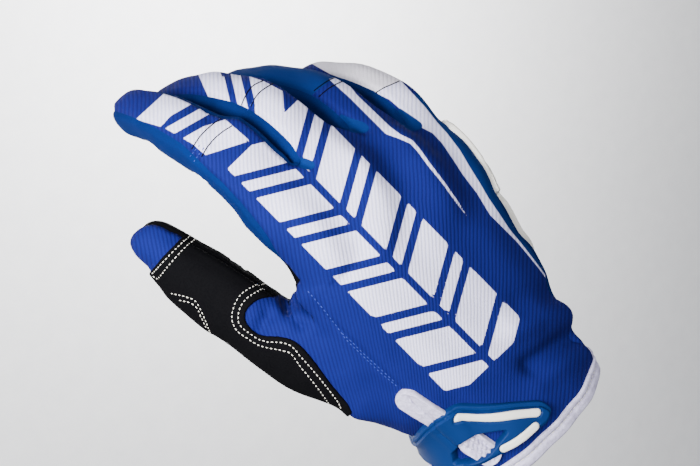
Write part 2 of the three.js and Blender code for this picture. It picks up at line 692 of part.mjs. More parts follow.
// Binding: a folded strip whose section follows the rim of the cuff
function bindingGeometry() {
  const above = new Map();
  const next = new Map();
  for (const edge of edgesOf(net).values()) {
    if (edge.faces.length > 1) continue;
    const { corners } = net.faces[edge.faces[0]];
    const i = corners.findIndex((corner, k) => edge.ends.includes(corner)
      && edge.ends.includes(corners[(k + 1) % 4]));
    next.set(corners[i], corners[(i + 1) % 4]);
    above.set(corners[i], corners[(i + 3) % 4]);
  }
  const rim = [[...next.keys()][0]];
  while (next.get(rim[rim.length - 1]) !== rim[0]) rim.push(next.get(rim[rim.length - 1]));
  const outer = SEAM_GAP + BINDING_WALL;
  const inner = -PALM_WALL - SEAM_GAP - BINDING_WALL;
  const section = [
    { along: -outer, height: inner }, { along: -outer, height: outer },
    { along: BINDING_WIDTH, height: outer }, { along: BINDING_WIDTH, height: SEAM_GAP },
    { along: -SEAM_GAP, height: SEAM_GAP }, { along: -SEAM_GAP, height: inner + BINDING_WALL },
    { along: BINDING_WIDTH, height: inner + BINDING_WALL }, { along: BINDING_WIDTH, height: inner },
  ];
  const positions = rim.flatMap((index) => {
    const up = net.points[above.get(index)].clone().sub(net.points[index]).normalize();
    return section.flatMap((place) => net.points[index].clone().addScaledVector(up, place.along)
      .addScaledVector(normals[index], place.height).toArray());
  });
  const count = section.length;
  const triangles = [];
  rim.forEach((_, i) => {
    const a = i * count;
    const b = ((i + 1) % rim.length) * count;
    section.forEach((__, j) => {
      const k = (j + 1) % count;
      triangles.push(a + j, b + j, b + k, a + j, b + k, a + k);
    });
  });
  const geometry = new THREE.BufferGeometry();
  geometry.setAttribute("position", new THREE.Float32BufferAttribute(positions, 3));
  geometry.setIndex(triangles);
  return geometry;
}

for (const panel of PANELS) {
  const faces = facesOf(panel.test);
  addPiece(panel.name, wallOver(net, normals, faces, -panel.wall, 0, SEAM_GAP / 2), panel.look);
}

addPiece("cuff_binding", bindingGeometry(), "binding");

// Black wrap over the thumb
const thumb = thumbLine();
const thumbJoint = thumb.at(THUMB.bones[0] * THUMB_LENGTH);
const thumbView = viewAlong(thumbJoint.point, THUMB_FACING, thumb.at(0).along);
const tongue = new THREE.SplineCurve(outlineOf(TONGUE_EDGE, THUMB_WIDTH, THUMB_LENGTH))
  .getPoints(CURVE_STEPS * TONGUE_EDGE.length);
const wrapOutline = [...tongue, ...outlineOf(WRAP_EDGE, THUMB_WIDTH, THUMB_LENGTH)];
const wrap = cutWall(facesOf((face) => onTube(face, "thumb", [6, 7, 0, 1])), SEAM_GAP, SEAM_GAP + WRAP_WALL,
  thumbView, wrapOutline, -THUMB_DEPTH / 2, FAR);
addPiece("thumb_wrap", toGeometry(wrap), "black");

// Moulded guard along the outer side
const guardView = viewAlong(vector(0, 0, 0), GUARD_FACING, vector(0, 1, 0));
const guardOutline = outlineOf(GUARD_EDGE, PALM_DEPTH, PALM_LENGTH);
const outerFaces = facesOf((face) => handColumns(face, backEnd - 2, soleStart + 1) && !belowThumb(face));
const guard = cutWall(outerFaces, SEAM_GAP, SEAM_GAP + GUARD_WALL, guardView,
  roundedOutline(guardOutline, CORNER_RADIUS / 2, 1), GUARD_NEAR * PALM_BREADTH, FAR);
addPiece("side_guard", toGeometry(guard), "whiteRubber");

// Closure at the wrist: cloth tab, moulded frame over it with two inlays, and the strap round the palm side
const closureView = viewAlong(vector(0, 0, 0), CLOSURE_FACING, vector(0, 1, 0));
const wristFaces = facesOf((face) => (face.part === "hand" && face.row <= THUMB_ROWS[0])
  || (face.part === "thumb" && face.row === 0));
const jointDepth = STRAP_JOINT * CUFF_DEPTH;
const tabTop = SEAM_GAP + TAB_WALL;
const frameTop = SEAM_GAP + FRAME_WALL;

const tabEnds = outlineOf([TAB_LINE.from, TAB_LINE.to], CUFF_WIDTH, PALM_LENGTH);
const tab = cutWall(wristFaces, SEAM_GAP, tabTop, closureView, stripOutline(...tabEnds, TAB_WIDTH),
  jointDepth, FAR);
addPiece("closure_tab", toGeometry(tab), "binding");

const frameOutline = roundedOutline(outlineOf(FRAME_EDGE, CUFF_WIDTH, PALM_LENGTH), CORNER_RADIUS, 2);
const windowOutline = roundedOutline(outlineOf(WINDOW_EDGE, CUFF_WIDTH, PALM_LENGTH), CORNER_RADIUS, 1);
let frame = cutWall(wristFaces, SEAM_GAP, frameTop, closureView, frameOutline, jointDepth, FAR)
  .subtract(prism(closureView, windowOutline, 0, FAR))
  .subtract(cutWall(wristFaces, -FRAME_WALL, tabTop + SEAM_GAP, closureView,
    stripOutline(...tabEnds, TAB_WIDTH + 2 * SEAM_GAP), 0, FAR));
for (const inlay of INLAYS) {
  const ends = outlineOf([inlay.from, inlay.to], CUFF_WIDTH, PALM_LENGTH);
  const bar = cutWall(wristFaces, frameTop - INLAY_DEPTH + SEAM_GAP, frameTop, closureView,
    stripOutline(...ends, INLAY_WIDTH), jointDepth, FAR);
  const groove = cutWall(wristFaces, frameTop - INLAY_DEPTH, frameTop + FRAME_WALL, closureView,
    stripOutline(...ends, INLAY_WIDTH + 2 * SEAM_GAP), 0, FAR);
  frame = frame.subtract(groove);
  addPiece(inlay.name, toGeometry(bar), "whiteRubber");
}
addPiece("closure_frame", toGeometry(frame), "blueRubber");

const strapLow = FRAME_EDGE[FRAME_EDGE.length - 1].along * PALM_LENGTH;
const strapOutline = [[-CUFF_WIDTH, 0], [STRAP_END * CUFF_WIDTH, 0], [STRAP_END * CUFF_WIDTH, STRAP_WIDTH],
  [-CUFF_WIDTH, STRAP_WIDTH]].map(([x, y]) => new THREE.Vector2(x, strapLow + y));
const strap = cutWall(wristFaces, SEAM_GAP, SEAM_GAP + STRAP_WALL, closureView, strapOutline, -FAR,
  jointDepth - SEAM_GAP);
addPiece("closure_strap", toGeometry(strap), "plain");

export default glove;
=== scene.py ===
"""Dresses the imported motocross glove: fine cloth panels, moulded trim, stitches, camera and studio.

The hand's net of faces is worked out here from the same named sizes as the solids, and refined further, so
that every dressed piece lies where its solid lies. Lengths are millimetres until a mesh is made.
"""

from __future__ import annotations

import logging
from collections.abc import Callable, Sequence
from dataclasses import dataclass, field
from enum import Enum

import bpy
import numpy as np
from bpy.types import Light, Material, Node, NodeSocket, NodeTree, Object
from mathutils import Matrix, Vector
from mathutils.bvhtree import BVHTree
from mathutils.kdtree import KDTree


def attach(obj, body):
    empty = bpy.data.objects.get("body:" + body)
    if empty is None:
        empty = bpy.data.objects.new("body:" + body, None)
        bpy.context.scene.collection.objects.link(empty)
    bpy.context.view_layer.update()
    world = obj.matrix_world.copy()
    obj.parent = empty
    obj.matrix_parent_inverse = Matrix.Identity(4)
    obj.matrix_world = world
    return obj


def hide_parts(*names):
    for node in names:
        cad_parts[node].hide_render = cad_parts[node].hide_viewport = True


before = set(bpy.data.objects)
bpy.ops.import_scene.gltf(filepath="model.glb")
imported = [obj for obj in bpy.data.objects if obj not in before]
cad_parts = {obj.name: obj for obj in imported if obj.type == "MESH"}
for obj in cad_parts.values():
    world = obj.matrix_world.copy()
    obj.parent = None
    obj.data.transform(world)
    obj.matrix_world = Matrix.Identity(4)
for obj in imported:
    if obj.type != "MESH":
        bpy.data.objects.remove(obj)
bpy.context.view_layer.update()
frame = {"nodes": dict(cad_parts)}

LOG = logging.getLogger("motocross_glove")
MM = 0.001
Array = np.ndarray
Outline = tuple[tuple[float, float], ...]
Triple = tuple[float, float, float]

# Named sizes of the hand, as in the part's source
PALM_LENGTH = 109.0
PALM_BREADTH = 88.0
PALM_DEPTH = 41.0
CUFF_WIDTH = 76.0
CUFF_DEPTH = 52.0
FINGER_LENGTH = 107.0
FINGER_WIDTH = 22.0
FINGER_DEPTH = 21.0
THUMB_LENGTH = 126.0
THUMB_WIDTH = 26.5
THUMB_DEPTH = 26.0
SQUARENESS = 2.35

# Columns and rows of the coarse net, and the angles of a finger's ring
BACK_COLUMNS = 8
SIDE_COLUMNS = 2
ROUND_COLUMNS = 2 * (BACK_COLUMNS + SIDE_COLUMNS)
THUMB_ROWS = (2, 3)
THUMB_BACK_COLUMNS = (6, 7, 0, 1)
WEB_ROW = 4
TUBE_COLUMNS = 8
RING_ANGLES = np.array([0.0, 48.0, 90.0, 132.0, 180.0, 228.0, 270.0, 312.0])

# Half sizes at the joints as shares of width and depth, and how tips and bends are rounded
FINGER_TAPER = (0.5, 0.475, 0.42, 0.358)
THUMB_TAPER = (0.6, 0.5, 0.445, 0.352)
NAIL_SHARE = 0.55
TIP_ROUNDING = 1.3
JOINT_SOFTNESS = (0.112, 0.075, 0.056)
ROOT_SHARE = 0.15
LINE_STEPS = 130

# Rounds that fit the net to its surface, levels that refine it, and the share of a side that a corner takes
FIT_ROUNDS = 6
FINE_LEVEL = 4
CORNER_SHARE = 0.45

# Depth that stands for far outside a print
OUTSIDE = -9.0

# Rings along a finger and the thumb: bone and share of that bone
FINGER_RINGS = ((0, 0.3), (0, 0.9), (1, 0.3), (1, 0.8), (2, 0.3), (2, 0.68), (2, 0.89))
THUMB_RINGS = ((0, 0.72), (0, 1.0), (1, 0.4), (1, 0.8), (2, 0.2), (2, 0.58), (2, 0.86))
THUMB_WEB_BLEND = (
    (0.3, 0.7, 0.8, 0.9, 0.5, 0.5, 0.5, 0.5),
    (0.0, 0.8, 1.0, 0.8, 0.1, 0.15, 0.15, 0.1),
)


class Part(Enum):
    """The hand and the tubes that grow from it."""

    HAND = 0
    INDEX = 1
    MIDDLE = 2
    RING = 3
    LITTLE = 4
    THUMB = 5


class Panel(Enum):
    """Sewn panels, by the name of the solid that each one dresses."""

    BACK = "back_panel"
    PALM = "palm_panel"
    INDEX_SIDE = "index_side_wall"
    INDEX_MIDDLE = "fourchette_index_middle"
    MIDDLE_RING = "fourchette_middle_ring"
    RING_LITTLE = "fourchette_ring_little"
    OUTER_SIDE = "outer_side_panel"
    THUMB_BACK = "thumb_back"
    THUMB_PALM = "thumb_palm"


PANELS = tuple(Panel)
SIDE_WALLS = (Panel.INDEX_SIDE, Panel.INDEX_MIDDLE, Panel.MIDDLE_RING, Panel.RING_LITTLE, Panel.OUTER_SIDE)


@dataclass(frozen=True)
class Section:
    """Cross-section of wrist or palm.

    along is a share of the palm's length and slant its change per length across; side and half are shares of
    width; lift, top and sole are shares of depth; the rims are the seams' angles.
    """

    width: float
    depth: float
    along: float
    slant: float
    side: float
    lift: float
    half: float
    top: float
    sole: float
    thumb_rim: float
    outer_rim: float
    palm_rim: float


SECTIONS = (
    Section(CUFF_WIDTH, CUFF_DEPTH, 0.0, 0.07, 0.0, 0.0, 0.5, 0.5, 0.5, 62, 62, 62),
    Section(CUFF_WIDTH, CUFF_DEPTH, 0.11, 0.04, 0.0, 0.02, 0.474, 0.48, 0.46, 62, 62, 60),
    Section(PALM_BREADTH, PALM_DEPTH, 0.24, 0.0, -0.01, 0.03, 0.426, 0.56, 0.58, 60, 62, 48),
    Section(PALM_BREADTH, PALM_DEPTH, 0.46, -0.05, -0.045, 0.05, 0.477, 0.51, 0.61, 63, 60, 40),
    Section(PALM_BREADTH, PALM_DEPTH, 0.735, -0.15, -0.07, 0.1, 0.484, 0.46, 0.54, 85, 58, 42),
)


@dataclass(frozen=True)
class Finger:
    """A finger: its knuckle's place, its size, and how the worn glove bends it."""

    part: Part
    side: float
    reach: float
    lift: float
    size: float
    girth: float
    knuckle: float
    bones: Triple
    web: float
    bend: Triple
    spread: float
    roll: float


FINGERS = (
    Finger(Part.INDEX, -0.42, 0.972, 0.122, 0.916, 1.0, 0.97,
           (0.469, 0.276, 0.255), 0.224, (21, 32, 19), -11.5, 1.5),
    Finger(Part.MIDDLE, -0.168, 1.0, 0.195, 1.0, 1.02, 1.0,
           (0.467, 0.29, 0.243), 0.234, (32, 37, 24), -2, 14),
    Finger(Part.RING, 0.081, 0.954, 0.171, 0.953, 0.96, 0.94,
           (0.461, 0.284, 0.255), 0.225, (41.5, 27, 16), 6.5, 14),
    Finger(Part.LITTLE, 0.315, 0.872, -0.04, 0.766, 0.87, 0.8,
           (0.451, 0.268, 0.281), 0.232, (30, 30, 18), 6, 14),
)


@dataclass(frozen=True)
class ThumbPose:
    """The thumb's root, bones and pose."""

    side: float = -0.295
    reach: float = 0.239
    lift: float = -0.122
    bones: Triple = (0.4, 0.317, 0.283)
    bend: Triple = (0, 17.5, 2.5)
    out: float = 33
    down: float = 12
    roll: float = -48


THUMB = ThumbPose()


@dataclass(frozen=True)
class KnuckleRing:
    """Ring over the knuckles: its place, its heights, and how far it keeps to the palm's last section."""

    along: float
    top: float
    sole: float
    settle: float


KNUCKLES = (
    KnuckleRing(-0.1, 0.427, 0.463, 0.6),
    KnuckleRing(0.0, 0.402, 0.439, 0.3),
    KnuckleRing(0.103, 0.34, 0.354, 0.05),
)


def unit(vector: Array) -> Array:
    """Returns the vector at length one."""
    return vector / np.linalg.norm(vector)


def smoothstep(value: Array, low: float, high: float) -> Array:
    """Returns a smooth rise from 0 at low to 1 at high."""
    t = np.clip((value - low) / (high - low), 0, 1)
    return t * t * (3 - 2 * t)


def bell(gap: Array, width: float) -> Array:
    """Returns 1 where the gap is nothing, falling smoothly to 0 over about twice the width."""
    return np.exp(-(gap / width) ** 2)


def turned(vector: Array, axis: Array, degrees: float) -> Array:
    """Returns the vector turned about a unit axis by the right-hand rule."""
    c, s = np.cos(np.radians(degrees)), np.sin(np.radians(degrees))
    return vector * c + np.cross(axis, vector) * s + axis * np.dot(axis, vector) * (1 - c)


def section_points(angles: Array, half: float, top: float, sole: float) -> tuple[Array, Array]:
    """Points of a rounded-square section.

    Args:
        angles: Degrees from straight up, towards the positive side.
        half: Half width.
        top: Height over the middle.
        sole: Depth under the middle.

    Returns:
        Distances across and up.
    """
    s, c = np.sin(np.radians(angles)), np.cos(np.radians(angles))
    power = 2 / SQUARENESS
    height = np.where(c > 0, top, sole)
    return half * np.sign(s) * np.abs(s) ** power, height * np.sign(c) * np.abs(c) ** power


class CentreLine:
    """Centre line of a finger: straight from the root, then curved at each joint."""

    def __init__(self, root: Array, heading: Array, up: Array, length: float,
                 bones: Sequence[float], bends: Sequence[float], root_length: float) -> None:
        """Works the stations out.

        Args:
            root: Place of the first joint.
            heading: Unit direction of the first bone.
            up: Unit direction off the back of the finger.
            length: Whole length from the root.
            bones: Shares of the length.
            bends: Degrees at each joint.
            root_length: Straight length before the root.
        """
        self.length = length
        self.root_length = root_length
        self.across = unit(np.cross(heading, up))
        self.step = (length + root_length) / LINE_STEPS
        self.distance = np.arange(LINE_STEPS + 1) * self.step - root_length
        joints = np.array([0, bones[0], bones[0] + bones[1]]) * length
        angle = np.zeros(LINE_STEPS + 1)
        for joint, bend, softness in zip(joints, bends, JOINT_SOFTNESS):
            soft = softness * length
            angle += np.radians(bend) * smoothstep(self.distance, joint - soft, joint + soft)
        c, s = np.cos(angle)[:, None], np.sin(angle)[:, None]
        self.along = c * heading - s * up
        self.up = c * up + s * heading
        moves = (self.along[1:] + self.along[:-1]) * self.step / 2
        start = root - heading * root_length
        self.point = start + np.vstack([np.zeros(3), np.cumsum(moves, axis=0)])

    def at(self, distance: float) -> tuple[Array, Array, Array]:
        """Returns the point, the direction along and the direction up at a distance from the root."""
        place = float(np.clip((distance + self.root_length) / self.step, 0, LINE_STEPS))
        low = min(int(place), LINE_STEPS - 1)
        t = place - low
        return tuple(a[low] * (1 - t) + a[low + 1] * t for a in (self.point, self.along, self.up))

    def ring(self, distance: float, half: float, top: float, sole: float) -> Array:
        """Returns eight points round the line."""
        point, _, up = self.at(distance)
        across, rise = section_points(RING_ANGLES, half, top, sole)
        return point + across[:, None] * self.across + rise[:, None] * up


def finger_line(finger: Finger) -> CentreLine:
    """Returns the centre line of a finger."""
    root = np.array([finger.side * PALM_BREADTH, finger.reach * PALM_LENGTH, finger.lift * PALM_DEPTH])
    spread = np.radians(finger.spread)
    heading = np.array([np.sin(spread), np.cos(spread), 0.0])
    up = turned(np.array([0.0, 0.0, 1.0]), heading, finger.roll)
    length = finger.size * FINGER_LENGTH
    return CentreLine(root, heading, up, length, finger.bones, finger.bend, ROOT_SHARE * length)


def thumb_line() -> CentreLine:
    """Returns the centre line of the thumb."""
    root = np.array([THUMB.side * PALM_BREADTH, THUMB.reach * PALM_LENGTH, THUMB.lift * PALM_DEPTH])
    out, down = np.radians(THUMB.out), np.radians(THUMB.down)
    heading = np.array([-np.sin(out) * np.cos(down), np.cos(out) * np.cos(down), -np.sin(down)])
    up = unit(np.array([0.0, 0.0, 1.0]) - heading * heading[2])
    up = turned(up, heading, THUMB.roll)
    return CentreLine(root, heading, up, THUMB_LENGTH, THUMB.bones, THUMB.bend, 0)


def girth_at(distance: float, length: float, marks: Sequence[float], taper: Sequence[float],
             width: float, depth: float) -> tuple[float, float]:
    """Half width and half depth of a finger, closing to a round tip.

    Args:
        distance: Place along the finger.
        length: The finger's length.
        marks: Distances of the tapers.
        taper: Half sizes as shares of width and depth.
        width: Full width.
        depth: Full depth.

    Returns:
        Half width and half depth.
    """
    share = float(np.interp(distance, marks, taper))
    rounding = taper[-1] * width * TIP_ROUNDING
    past = min(max((distance - length + rounding) / rounding, 0), 1)
    close = float(np.sqrt(1 - past * past))
    return share * width * close, share * depth * close


def ring_distances(rings: Sequence[tuple[int, float]], start: float, bones: Sequence[float],
                   length: float) -> list[float]:
    """Returns the distances of a table's rings, the first bone counted from start."""
    ends = (start, bones[0] * length, (bones[0] + bones[1]) * length, length)
    return [ends[bone] + (ends[bone + 1] - ends[bone]) * share for bone, share in rings]


class HandNet:
    """Coarse net of four-sided faces over the whole hand, as the part's source builds it."""

    def __init__(self) -> None:
        """Builds the rings, the faces between them, and the tubes of fingers and thumb."""
        self.points: list[Array] = []
        self.faces: list[tuple[int, int, int, int]] = []
        self.labels: list[tuple[int, int, int]] = []
        self.lines = {finger.part: finger_line(finger) for finger in FINGERS}
        self.lines[Part.THUMB] = thumb_line()
        rings = [self._section_ring(section) for section in SECTIONS]
        self._knuckle_rings(rings)
        web_rings = [self._web_ring(finger) for finger in FINGERS]
        web = self._add(self._joined(web_rings))
        rings.append(web)
        forks = self._add([(web_rings[i][2] + web_rings[i + 1][6]) / 2 for i in range(3)])
        self._hand_faces(rings)
        for i, finger in enumerate(FINGERS):
            self._grow_finger(i, finger, web, forks)
        self._grow_thumb(rings)
        self._drop_loose_points()

    def _add(self, points: Sequence[Array]) -> list[int]:
        """Adds points and returns their indices."""
        first = len(self.points)
        self.points.extend(np.asarray(point, float) for point in points)
        return list(range(first, len(self.points)))

    def _section_ring(self, section: Section) -> list[int]:
        """Returns the ring of a section, from the thumb-side seam over the back and round."""
        share = np.linspace(0, 1, BACK_COLUMNS + 1)
        back = -section.thumb_rim + (section.outer_rim + section.thumb_rim) * share
        first, last = 180 - section.outer_rim, 180 + section.palm_rim
        palm = first + (last - first) * share
        thumb_side = (540 + section.palm_rim - section.thumb_rim) / 2
        angles = np.concatenate([back, [90], palm, [thumb_side]])
        width, depth = section.width, section.depth
        across, up = section_points(angles, section.half * width, section.top * depth, section.sole * depth)
        x = section.side * width + across
        y = section.along * PALM_LENGTH + section.slant * across
        z = section.lift * depth + up
        return self._add(np.stack([x, y, z], axis=1))

    @staticmethod
    def _joined(four: Sequence[Array]) -> list[Array]:
        """Returns one ring round four fingers' rings."""
        back: list[Array] = []
        sole: list[Array] = []
        for i, ring in enumerate(four):
            back.append(ring[7] if i == 0 else (back.pop() + ring[7]) / 2)
            sole.append(ring[5] if i == 0 else (sole.pop() + ring[5]) / 2)
            back += [ring[0], ring[1]]
            sole += [ring[4], ring[3]]
        return [*back, four[3][2], *reversed(sole), four[0][6]]

    def _knuckle_rings(self, rings: list[list[int]]) -> None:
        """Adds the rings over the knuckles to the palm's rings."""
        palm_end = np.array([self.points[index] for index in rings[-1]])
        half = FINGER_TAPER[0] * FINGER_WIDTH
        for ring in KNUCKLES:
            along, top, sole = ring.along * FINGER_LENGTH, ring.top * PALM_DEPTH, ring.sole * PALM_DEPTH
            four = [self.lines[f.part].ring(along, half * f.girth, top * f.knuckle, sole * f.knuckle)
                    for f in FINGERS]
            joined = np.array(self._joined(four))
            joined[:, [0, 2]] += (palm_end - joined)[:, [0, 2]] * ring.settle
            rings.append(self._add(joined))

    def _girth(self, finger: Finger, distance: float) -> tuple[float, float]:
        """Returns a finger's half width and half depth at a distance."""
        length = self.lines[finger.part].length
        marks = np.array([finger.web, finger.bones[0], finger.bones[0] + finger.bones[1],
                          1 - finger.bones[2] * (1 - NAIL_SHARE)]) * length
        return girth_at(distance, length, marks, FINGER_TAPER, FINGER_WIDTH * finger.girth,
                        FINGER_DEPTH * finger.girth)

    def _web_ring(self, finger: Finger) -> Array:
        """Returns the ring where a finger leaves the hand."""
        distance = finger.web * self.lines[finger.part].length
        half, deep = self._girth(finger, distance)
        return self.lines[finger.part].ring(distance, half, deep, deep)

    def _hand_faces(self, rings: Sequence[Sequence[int]]) -> None:
        """Joins the rings, leaving the hole that the thumb grows from."""
        thumb_side = (ROUND_COLUMNS - 2, ROUND_COLUMNS - 1)
        for row in range(len(rings) - 1):
            for column in range(ROUND_COLUMNS):
                if row in THUMB_ROWS and column in thumb_side:
                    continue
                after = (column + 1) % ROUND_COLUMNS
                self.faces.append((rings[row][column], rings[row][after], rings[row + 1][after],
                                   rings[row + 1][column]))
                self.labels.append((Part.HAND.value, row, column))

    def _grow(self, part: Part, loop: Sequence[int], tube: Sequence[Array], tip: Array) -> None:
        """Grows a tube of rings on a loop of eight points, with a cap of four faces.

        Args:
            part: The part that the faces belong to.
            loop: The points that it starts on.
            tube: Its rings.
            tip: The point that closes it.
        """
        last = list(loop)
        for row, points in enumerate(tube):
            ring = self._add(points)
            for column in range(TUBE_COLUMNS):
                after = (column + 1) % TUBE_COLUMNS
                self.faces.append((last[column], last[after], ring[after], ring[column]))
                self.labels.append((part.value, row, column))
            last = ring
        end = self._add([tip])[0]
        caps = ((7, (last[7], last[0], end, last[6])), (0, (last[0], last[1], last[2], end)),
                (3, (end, last[2], last[3], last[4])), (4, (last[6], end, last[4], last[5])))
        for column, corners in caps:
            self.faces.append(corners)
            self.labels.append((part.value, len(tube), column))

    def _grow_finger(self, i: int, finger: Finger, web: Sequence[int], forks: Sequence[int]) -> None:
        """Grows a finger from the web ring."""
        line = self.lines[finger.part]
        outer = web[BACK_COLUMNS + 1] if i == 3 else forks[i]
        inner = web[ROUND_COLUMNS - 1] if i == 0 else forks[i - 1]
        sole = ROUND_COLUMNS - SIDE_COLUMNS - 2 * i
        loop = [web[2 * i + 1], web[2 * i + 2], outer, *web[sole - 2:sole + 1], inner, web[2 * i]]
        leaves = finger.web * line.length
        point, along, _ = line.at(leaves)
        ahead = max(float(np.dot(self.points[index] - point, along)) for index in loop)
        tube = []
        for distance in ring_distances(FINGER_RINGS, leaves + ahead, finger.bones, line.length):
            half, deep = self._girth(finger, distance)
            tube.append(line.ring(distance, half, deep, deep))
        self._grow(finger.part, loop, tube, line.at(line.length)[0])

    def _grow_thumb(self, rings: Sequence[Sequence[int]]) -> None:
        """Grows the thumb from the hole in the palm's thumb side."""
        line = self.lines[Part.THUMB]
        marks = np.array([THUMB.bones[0] * NAIL_SHARE, THUMB.bones[0], THUMB.bones[0] + THUMB.bones[1],
                          1 - THUMB.bones[2] * (1 - NAIL_SHARE)]) * THUMB_LENGTH
        low, middle, high = rings[2], rings[3], rings[4]
        n = ROUND_COLUMNS
        loop = [middle[0], high[0], high[n - 1], high[n - 2], middle[n - 2], low[n - 2], low[n - 1], low[0]]
        tube = []
        for distance in ring_distances(THUMB_RINGS, 0, THUMB.bones, THUMB_LENGTH):
            half, deep = girth_at(distance, THUMB_LENGTH, marks, THUMB_TAPER, THUMB_WIDTH, THUMB_DEPTH)
            tube.append(line.ring(distance, half, deep, deep))
        start = np.array([self.points[index] for index in loop])
        past = tube[len(THUMB_WEB_BLEND)]
        for row, blend in enumerate(THUMB_WEB_BLEND):
            web = start + (past - start) * (row + 1) / (len(THUMB_WEB_BLEND) + 1)
            tube[row] = tube[row] + (web - tube[row]) * np.array(blend)[:, None]
        self._grow(Part.THUMB, loop, tube, line.at(THUMB_LENGTH)[0])

    def _drop_loose_points(self) -> None:
        """Drops the points that no face uses."""
        used = sorted({corner for face in self.faces for corner in face})
        place = {old: new for new, old in enumerate(used)}
        self.points = [self.points[index] for index in used]
        self.faces = [tuple(place[corner] for corner in face) for face in self.faces]


class Topology:
    """Edges and counts of a quad net, for one step of smooth subdivision."""

    def __init__(self, faces: Array, count: int) -> None:
        """Finds the edges and the free rim."""
        edges = np.sort(np.stack([faces, np.roll(faces, -1, axis=1)], axis=2).reshape(-1, 2), axis=1)
        unique, inverse, used = np.unique(edges, axis=0, return_inverse=True, return_counts=True)
        self.faces, self.count, self.edges = faces, count, unique
        self.face_edges = inverse.reshape(len(faces), 4)
        self.rim_edges = used == 1
        self.rim = np.zeros(count, bool)
        self.rim[unique[self.rim_edges].ravel()] = True
        self.valence = np.bincount(unique.ravel(), minlength=count).astype(float)[:, None]

    def _neighbours(self, points: Array, edges: Array) -> Array:
        """Returns the sum of each point's neighbours along the given edges."""
        sums = np.zeros((self.count, 3))
        a, b = edges.T
        np.add.at(sums, a, points[b])
        np.add.at(sums, b, points[a])
        return sums

    def limit(self, points: Array) -> Array:
        """Returns where the points lie on the smooth surface."""
        far = np.zeros((self.count, 3))
        np.add.at(far, self.faces.ravel(), points[np.roll(self.faces, -2, axis=1)].reshape(-1, 3))
        n = self.valence
        near = self._neighbours(points, self.edges)
        inner = (n * n * points + 4 * near + far) / (n * (n + 5))
        rim = (4 * points + self._neighbours(points, self.edges[self.rim_edges])) / 6
        return np.where(self.rim[:, None], rim, inner)

    def refine(self, points: Array) -> tuple[Array, Array]:
        """Returns the points and faces one level finer."""
        faces, edges, n = self.faces, self.edges, self.valence
        middles = points[faces].mean(axis=1)
        ends = points[edges[:, 0]] + points[edges[:, 1]]
        beside = np.zeros((len(edges), 3))
        np.add.at(beside, self.face_edges.ravel(), np.repeat(middles, 4, axis=0))
        edge_points = np.where(self.rim_edges[:, None], ends / 2, (ends + beside) / 4)
        face_sum = np.zeros((self.count, 3))
        np.add.at(face_sum, faces.ravel(), np.repeat(middles, 4, axis=0))
        face_count = np.bincount(faces.ravel(), minlength=self.count)[:, None]
        edge_mean = (self._neighbours(points, self.edges) + n * points) / (2 * n)
        inner = (face_sum / face_count + 2 * edge_mean + (n - 3) * points) / n
        rim = 0.75 * points + self._neighbours(points, self.edges[self.rim_edges]) / 8
        corners = np.where(self.rim[:, None], rim, inner)
        edge_index = self.face_edges + self.count
        middle_index = np.arange(len(faces)) + self.count + len(edges)
        quads = [np.stack([faces[:, k], edge_index[:, k], middle_index, edge_index[:, (k - 1) % 4]], axis=1)
                 for k in range(4)]
        return np.vstack([corners, edge_points, middles]), np.stack(quads, axis=1).reshape(-1, 4)


def point_normals(points: Array, faces: Array) -> Array:
    """Returns the outward direction at every point of a quad net."""
    a, b, c, d = (points[faces[:, k]] for k in range(4))
    across = np.cross(c - a, d - b)
    normals = np.zeros_like(points)
    np.add.at(normals, faces.ravel(), np.repeat(across, 4, axis=0))
    return normals / np.linalg.norm(normals, axis=1)[:, None]


def panel_index(part: int, row: int, column: int) -> int:
    """Returns the place in PANELS of the panel that a face of the coarse net is cut from."""
    owner = Part(part)
    if owner is Part.THUMB:
        panel = Panel.THUMB_BACK if column in THUMB_BACK_COLUMNS else Panel.THUMB_PALM
    elif owner is not Part.HAND:
        inner, outer = SIDE_WALLS[part - 1:part + 1]
        panel = (Panel.BACK, outer, outer, Panel.PALM, Panel.PALM, inner, inner, Panel.BACK)[column]
    elif column < BACK_COLUMNS:
        panel = Panel.BACK
    elif column < BACK_COLUMNS + SIDE_COLUMNS:
        panel = Panel.OUTER_SIDE
    elif column < ROUND_COLUMNS - SIDE_COLUMNS:
        panel = Panel.PALM
    elif row < THUMB_ROWS[0]:
        panel = Panel.THUMB_BACK
    elif row == WEB_ROW and column == ROUND_COLUMNS - 2:
        panel = Panel.PALM
    else:
        panel = Panel.INDEX_SIDE
    return PANELS.index(panel)


@dataclass(frozen=True)
class PhotoView:
    """The camera at the photograph's angle, and the print plane that lies square to it.

    The print plane has its origin on the view's axis. Its first axis runs right and its second up.
    """

    position: Triple = (-184.2, 211.9, 338.8)
    right: Triple = (0.7328, -0.4612, 0.5003)
    down: Triple = (-0.5418, -0.8403, 0.0191)
    forward: Triple = (0.4116, -0.285, -0.8657)
    frame_width: float = 700.0
    focal_length: float = 1123.17
    print_scale: float = 2.7

    @property
    def plane_distance(self) -> float:
        """Distance of the print plane from the camera."""
        return self.focal_length / self.print_scale

    def project(self, points: Array) -> Array:
        """Returns the places on the print plane that points are seen at."""
        shifted = points - np.array(self.position)
        depth = shifted @ np.array(self.forward)
        scale = self.plane_distance / depth
        across, down = shifted @ np.array(self.right), shifted @ np.array(self.down)
        return np.stack([across * scale, -down * scale], axis=1)

    def ray(self, place: Sequence[float]) -> Array:
        """Returns the direction from the camera through a place on the print plane."""
        return unit(place[0] * np.array(self.right) - place[1] * np.array(self.down)
                    + self.plane_distance * np.array(self.forward))

    def facing(self, points: Array, normals: Array) -> Array:
        """Returns how far a surface turns to the camera, from -1 to 1."""
        towards = np.array(self.position) - points
        return (normals * towards).sum(axis=1) / np.linalg.norm(towards, axis=1)


VIEW = PhotoView()


